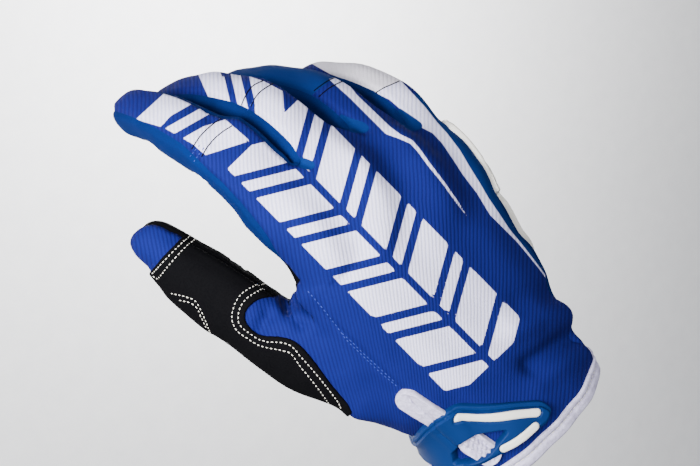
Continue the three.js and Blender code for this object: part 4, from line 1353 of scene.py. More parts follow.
def split_at(points: Array, values: Array, triangles: Array, column: int,
             level: float, snap: float = 0.06) -> tuple[Array, Array, Array]:
    """Splits triangles along the line where one of their fields has a level.

    Args:
        points: Places with their normals, six numbers each.
        values: Fields, one column each.
        triangles: Corner lists.
        column: The field to split by.
        level: Its value on the line.
        snap: Points nearer to the line than this count as on it.

    Returns:
        Points, fields and triangles after the split.
    """
    values = values.copy()
    gap = values[:, column] - level
    near = np.abs(gap) < snap
    values[near, column] = level
    gap[near] = 0
    sign = np.sign(gap)[triangles]
    mixed = (sign.min(axis=1) < 0) & (sign.max(axis=1) > 0)
    new_points, new_values, new_triangles = [], [], []
    made: dict[tuple[int, int], int] = {}

    def cut(a: int, b: int) -> int:
        """Returns the point on the line between two corners."""
        key = (min(a, b), max(a, b))
        if key not in made:
            t = gap[key[0]] / (gap[key[0]] - gap[key[1]])
            made[key] = len(points) + len(new_points)
            new_points.append(points[key[0]] * (1 - t) + points[key[1]] * t)
            row = values[key[0]] * (1 - t) + values[key[1]] * t
            row[column] = level
            new_values.append(row)
        return made[key]

    for triangle in triangles[mixed].tolist():
        above: list[int] = []
        below: list[int] = []
        for i, a in enumerate(triangle):
            b = triangle[(i + 1) % 3]
            if gap[a] >= 0:
                above.append(a)
            if gap[a] <= 0:
                below.append(a)
            if gap[a] * gap[b] < 0:
                middle = cut(a, b)
                above.append(middle)
                below.append(middle)
        for ring in (above, below):
            new_triangles += [(ring[0], ring[k], ring[k + 1]) for k in range(1, len(ring) - 1)]
    if new_points:
        points = np.vstack([points, new_points])
        values = np.vstack([values, new_values])
        triangles = np.vstack([triangles[~mixed], new_triangles])
    return points, values, triangles


def quartered(points: Array, triangles: Array) -> tuple[Array, Array]:
    """Returns points and triangles with every triangle cut in four."""
    edges = np.sort(np.stack([triangles, np.roll(triangles, -1, axis=1)], axis=2), axis=2)
    pairs, inverse = np.unique(edges.reshape(-1, 2), axis=0, return_inverse=True)
    middle = inverse.reshape(-1, 3) + len(points)
    points = np.vstack([points, (points[pairs[:, 0]] + points[pairs[:, 1]]) / 2])
    corners = [np.stack([triangles[:, k], middle[:, k], middle[:, k - 1]], axis=1) for k in range(3)]
    return points, np.vstack([*corners, middle])


@dataclass
class Relief:
    """A piece that lies on the skin: cut out by a field, then raised by a profile of that field."""

    name: str
    node: str
    slot: str
    material: Material
    faces: Array
    fields: Callable[[Array], Array]
    rise: Callable[[Array], Array]
    levels: tuple[tuple[int, float], ...] = ()
    base: float = 0.1
    foot: float = 0.15
    margin: float = 2.0
    finer: bool = False

    def build(self, skin: Skin) -> None:
        """Cuts the piece out of the skin, raises it, closes it and dresses its solid with it."""
        points, triangles = used_only(np.hstack([skin.points, skin.normals]), skin.triangles(self.faces))
        if self.finer:
            near = self.fields(points[:, :3])[:, 0] > -self.margin
            points, triangles = quartered(points, triangles[near[triangles].any(axis=1)])
        values = self.fields(points[:, :3])
        points, values, triangles = split_at(points, values, triangles, 0, 0.0)
        triangles = triangles[values[triangles, 0].mean(axis=1) > 0]
        triangles = triangles[values[triangles, 0].min(axis=1) >= 0]
        for column, level in self.levels:
            points, values, triangles = split_at(points, values, triangles, column, level)
        both, triangles = used_only(np.hstack([points, values]), triangles)
        places, normals, values = both[:, :3], both[:, 3:6], both[:, 6:]
        normals = normals / np.linalg.norm(normals, axis=1)[:, None]
        top = places + normals * (self.base + self.rise(values))[:, None]
        bottom = places - normals * self.foot
        count = len(places)
        walls = [(b, a, a + count, b + count) for a, b in rim_edges(triangles).tolist()]
        faces = [*triangles.tolist(), *(triangles[:, ::-1] + count).tolist(), *walls]
        piece = make_mesh(self.name, np.vstack([top, bottom]), faces, self.material, sharp_degrees=65.0)
        dress_piece(piece, self.node)


def bevel(edge: Array, height: float, radius: float) -> Array:
    """Returns the height of a rounded edge at a distance inside its outline."""
    t = np.clip(edge / radius, 0, 1)
    return height * np.sqrt(np.clip(1 - (1 - t) ** 2, 0, 1))


@dataclass(frozen=True)
class PrintBand:
    """Bars of white that cross a line of the print plane.

    A bar is given by where it starts along the line and how thick it is. It leans back from the line by the
    sweep, on one side like a slash or on both sides like a chevron.
    """

    line: Outline
    reach: tuple[float, float]
    bars: tuple[tuple[float, float], ...]
    sweep: float = 0.62
    split: float = 0.0
    mirrored: bool = False
    end: float = 500.0

    def inside(self, places: Array) -> Array:
        """Returns the distance inside the bars."""
        along, across = line_coordinates(places, self.line)
        lean = np.abs(across) if self.mirrored else across
        slope = np.sqrt(1 + self.sweep ** 2)
        best = np.full(len(places), OUTSIDE)
        for start, thick in self.bars:
            bent = (along - start + self.sweep * lean) / slope
            best = np.maximum(best, np.minimum(bent, thick / slope - bent))
        side = np.minimum(self.reach[1] - across, self.reach[0] + across)
        best = np.minimum(np.minimum(best, side), np.minimum(along, self.end - along))
        return np.minimum(best, np.abs(across) - self.split) if self.split else best


@dataclass
class BackPrint:
    """The printed pattern of the back: bars and chevrons of white, pale stripes and plain bands."""

    rib_turn: float = 0.0016
    rib_top: float = 46.0
    rib_turn_back: float = 1.2
    rib_straight: tuple[float, float] = (-10.0, 70.0)
    side_from: float = 12.0
    plain_facing: float = 0.04
    white_facing: float = 0.02
    facing_depth: float = 20.0
    back_band: PrintBand = PrintBand(
        ((-31.5, 37.4), (50.0, -45.9), (78.9, -75.9)), (19.5, 19.5),
        ((4.0, 11.0), (18.5, 4.5), (26.5, 12.5), (42.5, 4.5), (50.5, 13.0), (67.0, 4.5), (75.0, 13.5),
         (92.0, 4.5), (100.0, 14.0), (117.5, 9.0)),
        sweep=0.58, split=1.4, mirrored=True, end=120.0)
    index_band: PrintBand = PrintBand(
        ((-77.0, 48.9), (-65.9, 45.6), (-54.1, 38.9), (-42.2, 28.5)), (7.2, 7.6),
        ((4.0, 9.5), (17.0, 4.0), (24.5, 12.0)), sweep=-0.6)
    middle_band: PrintBand = PrintBand(
        ((-59.3, 55.2), (-47.4, 53.7), (-34.8, 49.6), (-21.5, 42.6)), (7.4, 7.2),
        ((5.0, 9.0), (17.0, 4.0), (24.5, 12.5)), sweep=0.6)
    ring_stripe: Outline = (
        (-7.8, 57.0), (-3.3, 58.5), (2.6, 51.1), (9.6, 44.4), (14.8, 39.4), (18.7, 36.5), (23.1, 34.4),
        (26.1, 30.9), (29.3, 26.3), (34.8, 19.1), (40.0, 11.7), (43.5, 5.9), (39.4, 11.1), (34.1, 18.5),
        (28.5, 25.4), (25.2, 30.0), (22.4, 33.1), (18.1, 35.0), (13.3, 36.7), (7.4, 42.6), (0.0, 50.0),
    )
    little_stripe: Outline = (
        (8.9, 52.2), (18.5, 56.7), (24.1, 50.7), (27.8, 46.7), (32.2, 41.1), (35.9, 37.0), (40.7, 30.7),
        (44.4, 24.4), (48.1, 18.5), (51.1, 13.3), (55.6, 6.7), (59.3, 1.1), (63.0, -3.3), (67.4, -8.9),
        (72.6, -15.9), (74.1, -18.9), (73.0, -17.4), (70.4, -13.7), (65.9, -8.1), (61.9, -3.3), (56.7, 1.9),
        (51.9, 6.7), (47.0, 14.8), (41.9, 21.5), (37.8, 27.8), (34.1, 33.3), (30.6, 37.0), (26.9, 38.9),
        (21.1, 43.7), (14.8, 49.3),
    )
    plain_side: Outline = (
        *little_stripe[2:15], (74.8, -18.9), (107.4, -21.1), (107.4, 71.5), (29.6, 64.1))
    pale_tip: Outline = (
        (-29.6, 71.5), (-1.9, 71.5), (18.5, 67.0), (23.0, 58.1), (18.1, 55.9), (14.1, 54.4), (10.0, 52.2),
        (2.2, 55.2), (-7.4, 58.9),
    )
    plain_ring: Outline = (
        (-59.3, 71.5), (-7.4, 71.5), (-3.0, 58.9), (-8.1, 55.9), (-13.3, 51.9), (-18.5, 45.6),
        (-59.3, 49.3),
    )
    slot_ends: tuple[Outline, ...] = (
        (
            (-3.7, 44.1), (0.7, 42.4), (5.2, 40.9), (7.0, 38.9), (5.9, 37.3), (2.2, 37.1), (-0.7, 38.0),
            (-3.3, 40.4),
        ),
        (
            (18.5, 46.3), (23.7, 42.8), (26.4, 40.7), (26.7, 39.0), (24.7, 38.0), (21.5, 38.4),
            (16.7, 42.6),
        ),
        (
            (-20.0, 28.1), (-16.3, 27.6), (-13.5, 26.3), (-13.0, 24.8), (-14.4, 23.6), (-17.4, 23.8),
            (-19.6, 25.2),
        ),
    )

    def ribs(self, places: Array) -> Array:
        """Returns the place across the ribs, which lean on the thumb's side and straighten outwards."""
        down = np.clip(self.rib_top - places[:, 1], 0, None)
        lean = 1 - self.rib_turn_back * smoothstep(places[:, 0], *self.rib_straight)
        return places[:, 0] - self.rib_turn * lean * down ** 2

    def marks(self, skin: Skin, used: Array) -> dict[str, Array]:
        """Returns the print's fields for points of the skin: distances inside each colour, in millimetres."""
        points = skin.points[used]
        places = VIEW.project(points)
        facing = VIEW.facing(points, skin.normals[used])

        def on(parts: tuple[Part, ...], depth: Array | Outline) -> Array:
            """Returns a depth, or the depth inside an outline, kept to the faces of the given parts."""
            if isinstance(depth, tuple):
                depth = inside_distance(places, depth)
            return np.where(skin.on_parts(parts)[used], depth, OUTSIDE)

        white = np.max([on((Part.HAND, Part.INDEX, Part.MIDDLE), self.back_band.inside(places)),
                        on((Part.INDEX,), self.index_band.inside(places)),
                        on((Part.MIDDLE,), self.middle_band.inside(places)),
                        on((Part.HAND, Part.RING), self.ring_stripe),
                        on((Part.HAND, Part.LITTLE), self.little_stripe)], axis=0)
        outer = skin.on_parts((Part.HAND, Part.LITTLE))[used] & (points[:, 0] > self.side_from)
        side = np.maximum(inside_distance(places, self.plain_side),
                          (self.plain_facing - facing) * self.facing_depth)
        plain = np.maximum(np.where(outer, side, OUTSIDE), on((Part.RING,), self.plain_ring))
        white = np.minimum(white, np.where(outer, (facing - self.white_facing) * self.facing_depth, -OUTSIDE))
        for slot in self.slot_ends:
            end = np.where(facing > 0, inside_distance(places, spline([*slot, slot[0]], 5)), OUTSIDE)
            plain, white = np.maximum(plain, end), np.minimum(white, -end)
        pale = on((Part.LITTLE,), self.pale_tip)
        return {"rib": self.ribs(places), "white": white, "plain": plain, "pale": pale}


def thumb_marks(skin: Skin, used: Array) -> dict[str, Array]:
    """Returns the fields of the thumb's back, which is ribbed and unprinted."""
    none = np.full(len(used), OUTSIDE)
    rib = BackPrint().ribs(VIEW.project(skin.points[used]))
    return {"rib": rib, "white": none, "plain": none, "pale": none}


@dataclass
class ThumbWrap:
    """Black wrap over the thumb, cut round the blue tongue at its base."""

    wall: float = 0.9
    roll: float = 0.8
    tip_side: Outline = (
        (-18.5, -19.3), (-33.3, -6.3), (-51.9, 3.0), (-60.0, 0.7), (-62.6, -2.2), (-65.9, -5.6),
        (-69.6, -9.3), (-73.7, -14.4), (-85.2, -21.1), (-92.6, -35.9), (-37.0, -84.1), (-7.4, -76.7),
        (0.7, -66.3),
    )
    tongue: Outline = (
        (-0.7, -63.3), (-7.0, -55.9), (-13.3, -47.4), (-18.1, -41.9), (-21.9, -39.4), (-26.7, -38.3),
        (-31.9, -38.1), (-34.8, -37.0), (-37.8, -34.1), (-38.9, -30.7), (-37.8, -27.8), (-34.1, -24.8),
        (-28.9, -23.7), (-25.2, -23.9), (-22.2, -23.7),
    )

    def build(self, skin: Skin, material: Material) -> None:
        """Builds the wrap."""
        outline = np.vstack([self.tip_side, spline(self.tongue, 6)])

        def fields(points: Array) -> Array:
            """Returns the distance inside the wrap's outline."""
            return inside_distance(VIEW.project(points), outline)[:, None]

        def rise(values: Array) -> Array:
            """Returns the wrap's height, rolled down at its edge."""
            return bevel(values[:, 0] + 0.15, self.wall, self.roll)

        faces = (skin.labels[:, 0] == Part.THUMB.value) & np.isin(skin.labels[:, 2], THUMB_BACK_COLUMNS)
        Relief("thumb_wrap_leather", "thumb_wrap", "black_synthetic_leather", material, faces, fields,
               rise, ((0, 0.35), (0, self.roll))).build(skin)


@dataclass
class SideGuard:
    """Moulded guard along the outer side, with a notch and raised ribs."""

    wall: float = 2.0
    # Outline as shares of the palm's depth and length
    edge: Outline = ((0.2, 0.46), (0.38, 0.49), (0.46, 0.64), (0.48, 0.92), (0.41, 1.03), (0.24, 1.01),
                     (0.03, 0.89), (-0.02, 0.76), (0.13, 0.735), (0.02, 0.71), (0.05, 0.56))
    toward: Triple = (0.95, 0.0, 0.3)
    corner: float = 1.5
    near: float = 0.25
    slant: float = 0.6
    groove_pitch: float = 7.0
    groove_depth: float = 0.8
    groove_edges: tuple[float, float] = (0.35, 0.8)
    frame_width: float = 2.4
    frame_slope: float = 0.4

    def build(self, skin: Skin, material: Material) -> None:
        """Builds the guard."""
        view = FlatView(self.toward)
        outline = rounded(np.array(self.edge) * np.array([PALM_DEPTH, PALM_LENGTH]), self.corner, 4)

        def fields(points: Array) -> Array:
            """Returns the distance inside the outline and the place along the guard."""
            place = view.place(points)
            above = place[:, 2] - self.near * PALM_BREADTH
            inside = np.minimum(inside_distance(place[:, :2], outline), above)
            return np.stack([inside, place[:, 1] - self.slant * place[:, 0]], axis=1)

        def rise(values: Array) -> Array:
            """Returns the guard's height: a raised frame round slanting bars."""
            edge, along = values[:, 0], values[:, 1]
            wave = smoothstep(np.cos(2 * np.pi * along / self.groove_pitch), *self.groove_edges)
            low, high = self.frame_width - self.frame_slope, self.frame_width + self.frame_slope
            return bevel(edge + 0.1, self.wall, 0.9) - self.groove_depth * wave * smoothstep(edge, low, high)

        part, row, column = skin.labels.T
        faces = (part == Part.HAND.value) & (row >= THUMB_ROWS[0])
        faces &= (column >= BACK_COLUMNS - 2) & (column <= BACK_COLUMNS + SIDE_COLUMNS)
        Relief("side_guard_moulding", "side_guard", "white_moulding", material, faces, fields, rise,
               ((0, 0.3), (0, 0.8), (0, self.frame_width))).build(skin)


@dataclass
class WristClosure:
    """Closure at the wrist: cloth tab, moulded frame with two inlays, and the strap round the palm side."""

    tab_wall: float = 1.5
    tab_width: float = 9.0
    tab_cord: float = 0.45
    bump_height: float = 0.38
    bump_waves: tuple[float, float] = (3.1, 2.7)
    bump_slants: tuple[float, float] = (0.5, -0.6)
    gather_height: float = 0.55
    gather_wave: float = 2.9
    gather_slant: float = 0.1
    frame_wall: float = 3.4
    frame_corner: float = 2.1
    window_corner: float = 1.5
    flange_width: float = 1.5
    flange_slope: float = 0.35
    flange_drop: float = 1.3
    inlay_width: float = 3.2
    inlay_wall: float = 1.5
    inlay_sunk: float = 1.4
    inlay_groove: float = 0.6
    groove_slope: float = 0.3
    strap_wall: float = 1.6
    strap_width: float = 22.0
    strap_end: float = 0.15
    strap_seam: float = 2.0
    strap_press: float = 0.3
    # Height where strap and frame meet, as a share of the cuff's depth
    joint: float = 0.2
    # Outlines as shares of the cuff's width and the palm's length
    frame: Outline = ((-0.6, 0.13), (-0.46, 0.18), (-0.4, 0.22), (-0.34, 0.26), (-0.28, 0.283), (-0.2, 0.309),
                      (-0.12, 0.305), (0.205, 0.145), (0.228, 0.1), (0.19, 0.072), (-0.6, 0.072))
    window: Outline = ((-0.25, 0.1), (-0.225, 0.155), (-0.16, 0.188), (-0.1, 0.177), (0.0, 0.15),
                       (0.015, 0.137), (-0.11, 0.096))
    long_inlay: Outline = ((-0.15, 0.272), (0.155, 0.128))
    short_inlay: Outline = ((0.12, 0.094), (-0.03, 0.094))
    tab: Outline = ((-0.3, 0.395), (-0.1, 0.09))
    toward: Triple = (-0.64, 0.0, 0.77)

    def __post_init__(self) -> None:
        """Prepares the view and the outlines."""
        self.view = FlatView(self.toward)
        self.scale = np.array([CUFF_WIDTH, PALM_LENGTH])
        self.joint_depth = self.joint * CUFF_DEPTH
        self.frame_outline = rounded(np.array(self.frame) * self.scale, self.frame_corner, 5)
        self.window_outline = rounded(np.array(self.window) * self.scale, self.window_corner, 4)
        self.tab_outline = strip(np.array(self.tab) * self.scale, self.tab_width, 8)
        self.long_outline = strip(np.array(self.long_inlay) * self.scale, self.inlay_width, 5)
        self.short_outline = strip(np.array(self.short_inlay) * self.scale, self.inlay_width, 5)

    @staticmethod
    def wrist_faces(skin: Skin) -> Array:
        """Returns the faces round the wrist."""
        part, row, _ = skin.labels.T
        hand = (part == Part.HAND.value) & (row <= THUMB_ROWS[0])
        return hand | ((part == Part.THUMB.value) & (row == 0))

    def inside(self, place: Array, outline: Array) -> Array:
        """Returns the distance inside an outline, above the height where strap and frame meet."""
        return np.minimum(inside_distance(place[:, :2], outline), place[:, 2] - self.joint_depth)

    def build_tab(self, skin: Skin, material: Material) -> None:
        """Builds the embossed tab, gathered where the frame's window shows it."""
        ends = np.array(self.tab) * self.scale
        along = unit(ends[1] - ends[0])

        def fields(points: Array) -> Array:
            """Returns the distance inside the tab, the place across it, the window and the length."""
            place = self.view.place(points)
            across = (place[:, :2] - ends[0]) @ np.array([-along[1], along[0]])
            window = inside_distance(place[:, :2], self.window_outline)
            length = (place[:, :2] - ends[0]) @ along
            return np.stack([self.inside(place, self.tab_outline), across, window, length], axis=1)

        def rise(values: Array) -> Array:
            """Returns the tab's height, with a corded edge, embossed bumps and gathers."""
            edge, across, window, length = values.T
            first = np.sin(across * self.bump_waves[0] + length * self.bump_slants[0])
            second = np.sin(length * self.bump_waves[1] + across * self.bump_slants[1])
            bumps = self.bump_height * first * second * smoothstep(edge, 1.0, 2.0)
            folds = np.cos(across * self.gather_wave + length * self.gather_slant)
            gathers = self.gather_height * folds * smoothstep(window, -1.5, 0.5)
            cord = self.tab_cord * bell(edge - 0.7, 0.4)
            return bevel(edge + 0.1, self.tab_wall, 1.0) + cord + bumps + gathers

        Relief("closure_tab_tape", "closure_tab", "binding_tape", material, self.wrist_faces(skin), fields,
               rise, ((0, 0.4), (0, 1.0)), finer=True).build(skin)

    def build_frame(self, skin: Skin, material: Material) -> None:
        """Builds the moulded frame with its raised rim, window and inlay grooves."""

        def fields(points: Array) -> Array:
            """Returns the distances inside the frame, inside the inlays and inside the outer edge."""
            place = self.view.place(points)
            flat = place[:, :2]
            outer = inside_distance(flat, self.frame_outline)
            inside = self.inside(place, self.frame_outline)
            inside = np.minimum(inside, -inside_distance(flat, self.window_outline))
            long, short = inside_distance(flat, self.long_outline), inside_distance(flat, self.short_outline)
            return np.stack([inside, np.maximum(long, short), outer], axis=1)

        def rise(values: Array) -> Array:
            """Returns the frame's height: a flange, then a step up to the flat face."""
            edge, inlay, outer = values.T
            drop = self.flange_drop * (1 - smoothstep(outer, self.flange_width, flange_top))
            groove = self.inlay_groove * smoothstep(inlay, -self.groove_slope, 0.0)
            return bevel(edge + 0.05, self.frame_wall, 0.55) - drop - groove

        flange_top = self.flange_width + self.flange_slope
        levels = ((0, 0.25), (0, 0.55), (2, self.flange_width), (2, flange_top), (1, -self.groove_slope),
                  (1, 0.0))
        Relief("closure_frame_moulding", "closure_frame", "blue_moulding", material, self.wrist_faces(skin),
               fields, rise, levels, finer=True).build(skin)

    def build_inlay(self, skin: Skin, material: Material, node: str, outline: Array) -> None:
        """Builds one white inlay bar, a little proud of the frame."""

        def fields(points: Array) -> Array:
            """Returns the distance inside the bar."""
            return self.inside(self.view.place(points), outline)[:, None]

        def rise(values: Array) -> Array:
            """Returns the bar's height over the skin."""
            return self.frame_wall - self.inlay_sunk + bevel(values[:, 0] + 0.05, self.inlay_wall, 0.8)

        Relief(f"{node}_moulding", node, "white_moulding", material, self.wrist_faces(skin), fields, rise,
               ((0, 0.3), (0, 0.8))).build(skin)

    def build_strap(self, skin: Skin, material: Material) -> None:
        """Builds the strap round the palm side."""
        low = self.frame[-1][1] * PALM_LENGTH
        end = self.strap_end * CUFF_WIDTH
        high = low + self.strap_width
        outline = np.array([(-CUFF_WIDTH, low), (end, low), (end, high), (-CUFF_WIDTH, high)])

        def fields(points: Array) -> Array:
            """Returns the distance inside the strap."""
            place = self.view.place(points)
            under = self.joint_depth + 1.0 - place[:, 2]
            return np.minimum(inside_distance(place[:, :2], outline), under)[:, None]

        def rise(values: Array) -> Array:
            """Returns the strap's height, pressed in along its sewn edge."""
            edge = values[:, 0]
            press = self.strap_press * bell(edge - self.strap_seam, 0.5)
            return bevel(edge + 0.1, self.strap_wall, 0.9) - press

        Relief("closure_strap_cloth", "closure_strap", "smooth_cloth", material, self.wrist_faces(skin),
               fields, rise, ((0, 0.3), (0, 0.9), (0, self.strap_seam))).build(skin)


@dataclass
class CuffBinding:
    """Tape folded over the edge of the cuff and sewn through."""

    width: float = 5.5
    wall: float = 0.9
    panel_wall: float = 1.5
    profile_steps: int = 6
    slack: float = 0.35
    stitch_at: float = 2.9
    stitch_reach: float = 0.7
    stitch_dip: float = 0.75
    stitch_sunk: float = 0.3
    swell: float = 0.1
    bottom: float = 0.4
    flatness: float = 0.8

    def section(self) -> Array:
        """Returns the tape's section: distance up the glove and height over it, closed."""
        out = self.wall + self.slack
        inside = -self.panel_wall - out
        middle, half = (out + inside) / 2, (out - inside) / 2
        angle = np.linspace(0, np.pi, 2 * self.profile_steps + 1)
        fold = np.stack([-np.sin(angle) * half * self.flatness, middle + np.cos(angle) * half], axis=1)
        up = np.linspace(self.width - 0.3, self.bottom, self.profile_steps * 2)
        dip = self.stitch_dip * bell(up - self.stitch_at, self.stitch_reach)
        crown = np.stack([up, out - dip + self.swell * np.sin(up / self.width * np.pi)], axis=1)
        lip = [(self.width, 0.1), (self.width, out * 0.6)]
        under = [(s, inside) for s in np.linspace(self.bottom, self.width, self.profile_steps)]
        back = [(self.width, inside + self.wall), (self.bottom, inside + self.wall), (self.bottom, 0.1)]
        return np.vstack([lip, crown, fold, under, back])

    def rim(self, skin: Skin) -> tuple[Array, Array, Array]:
        """Returns the cuff's rim points in order, with directions up the glove and out."""
        edges = rim_edges(skin.faces)
        after = dict(edges.tolist())
        loop = [int(edges[0, 0])]
        while after[loop[-1]] != loop[0]:
            loop.append(after[loop[-1]])
        rows = skin.faces[(skin.labels[:, 0] == Part.HAND.value) & (skin.labels[:, 1] == 0)]
        above: dict[int, int] = {}
        for face in rows.tolist():
            for k in range(4):
                if after.get(face[k]) == face[(k + 1) % 4]:
                    above[face[k]] = face[(k + 3) % 4]
        points = skin.points[loop]
        up = np.array([unit(skin.points[above[index]] - skin.points[index]) for index in loop])
        return points, up, skin.normals[loop]

    def build(self, skin: Skin, material: Material) -> None:
        """Builds the binding."""
        points, up, out = self.rim(skin)
        section = self.section()
        rings = [points + up * along + out * height for along, height in section]
        index = np.arange(len(section) * len(points)).reshape(len(section), -1)
        above, beside = np.roll(index, -1, axis=0), np.roll(index, -1, axis=1)
        faces = np.stack([index, above, np.roll(above, -1, axis=1), beside], axis=2).reshape(-1, 4)
        piece = make_mesh("cuff_binding_tape", np.vstack(rings), faces, material, sharp_degrees=70.0)
        dress_piece(piece, "cuff_binding")

    def stitch_line(self, skin: Skin) -> Array:
        """Returns the line of the binding's stitches."""
        points, up, out = self.rim(skin)
        line = points + up * self.stitch_at + out * (self.wall - self.stitch_sunk)
        return np.vstack([line, line[:1]])


class ThreadKind(Enum):
    """How a thread shows: as separate stitches, or as one line, as the dark lines of painted crease shade do.
    """

    STITCHES = "stitches"
    LINE = "line"


@dataclass
class ThreadRun:
    """Threads of one colour, or dark lines of painted crease shade, that follow lines on the glove, made by
    Geometry Nodes.
    """

    name: str
    slot: str
    material: Material
    kind: ThreadKind = ThreadKind.STITCHES
    pitch: float = 1.5
    stitch: float = 1.1
    radius: float = 0.22
    seed: int = 7
    lines: list[Array] = field(default_factory=list)

    def sizes(self) -> dict[str, float]:
        """Returns the tree's inputs by name, in millimetres."""
        return {"Pitch": self.pitch, "Stitch Length": self.stitch, "Thread Radius": self.radius}

    def tree(self) -> NodeTree:
        """Returns the node tree, with named inputs for its sizes."""
        tree = bpy.data.node_groups.new(f"{self.name}_tree", "GeometryNodeTree")
        tree.interface.new_socket("Lines", in_out="INPUT", socket_type="NodeSocketGeometry")
        for label in self.sizes():
            tree.interface.new_socket(label, in_out="INPUT", socket_type="NodeSocketFloat")
        tree.interface.new_socket("Thread", in_out="OUTPUT", socket_type="NodeSocketGeometry")
        entry = add_node(tree, "NodeGroupInput")
        curve = add_node(tree, "GeometryNodeResampleCurve", {"Curve": entry.outputs["Lines"],
                         "Length": entry.outputs["Pitch"]}, mode="LENGTH")
        if self.kind is ThreadKind.STITCHES:
            made = self._stitches(tree, entry, curve)
        else:
            profile = add_node(tree, "GeometryNodeCurvePrimitiveCircle", {"Resolution": 6,
                               "Radius": entry.outputs["Thread Radius"]})
            made = add_node(tree, "GeometryNodeCurveToMesh", {"Curve": curve.outputs[0],
                            "Profile Curve": profile.outputs[0], "Fill Caps": True}).outputs[0]
        real = add_node(tree, "GeometryNodeRealizeInstances", {"Geometry": made})
        dressed = add_node(tree, "GeometryNodeSetMaterial", {
            "Geometry": real.outputs[0], "Material": self.material})
        smooth = add_node(tree, "GeometryNodeSetShadeSmooth", {"Geometry": dressed.outputs[0]})
        add_node(tree, "NodeGroupOutput", {"Thread": smooth.outputs[0]})
        return tree

    def _stitches(self, tree: NodeTree, entry: Node, curve: Node) -> NodeSocket:
        """Returns instances of a stitch along the curve."""
        ball = add_node(tree, "GeometryNodeMeshUVSphere", {"Segments": 8, "Rings": 6, "Radius": 1.0})
        half = add_node(tree, "ShaderNodeMath", {0: entry.outputs["Stitch Length"], 1: 0.5},
                        operation="MULTIPLY")
        radius = entry.outputs["Thread Radius"]
        size = add_node(tree, "ShaderNodeCombineXYZ", {0: radius, 1: radius, 2: half.outputs[0]})
        stitch = add_node(tree, "GeometryNodeTransform", {
            "Geometry": ball.outputs["Mesh"], "Scale": size.outputs[0]})
        tangent = add_node(tree, "GeometryNodeInputTangent")
        turn = add_node(tree, "FunctionNodeAlignRotationToVector", {"Vector": tangent.outputs[0]}, axis="Z")
        vary = add_node(tree, "FunctionNodeRandomValue", {"Min": (0.9, 0.9, 0.85), "Max": (1.1, 1.1, 1.1),
                        "Seed": self.seed}, data_type="FLOAT_VECTOR")
        placed = add_node(tree, "GeometryNodeInstanceOnPoints", {
            "Points": curve.outputs[0], "Instance": stitch.outputs[0], "Rotation": turn.outputs[0],
            "Scale": vary.outputs[0]})
        return placed.outputs[0]

    def build(self) -> None:
        """Builds the threads as one plain mesh that rides on the glove."""
        curve = bpy.data.curves.new(f"{self.name}_lines", "CURVE")
        curve.dimensions = "3D"
        for line in self.lines:
            run = curve.splines.new("POLY")
            run.points.add(len(line) - 1)
            run.points.foreach_set("co", np.hstack([line * MM, np.ones((len(line), 1))]).ravel())
        guide = bpy.data.objects.new(f"{self.name}_guide", curve)
        bpy.context.scene.collection.objects.link(guide)
        tree = self.tree()
        modifier = guide.modifiers.new("thread", "NODES")
        modifier.node_group = tree
        for item in tree.interface.items_tree:
            if item.name in self.sizes():
                modifier[item.identifier] = self.sizes()[item.name] * MM
        graph = bpy.context.evaluated_depsgraph_get()
        mesh = bpy.data.meshes.new_from_object(guide.evaluated_get(graph))
        guide.modifiers.remove(modifier)
        bpy.data.objects.remove(guide)
        mesh.name = self.name
        piece = bpy.data.objects.new(self.name, mesh)
        bpy.context.scene.collection.objects.link(piece)
        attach(piece, "root")
        LOG.info("%s: %d faces along %d lines", self.name, len(mesh.polygons), len(self.lines))


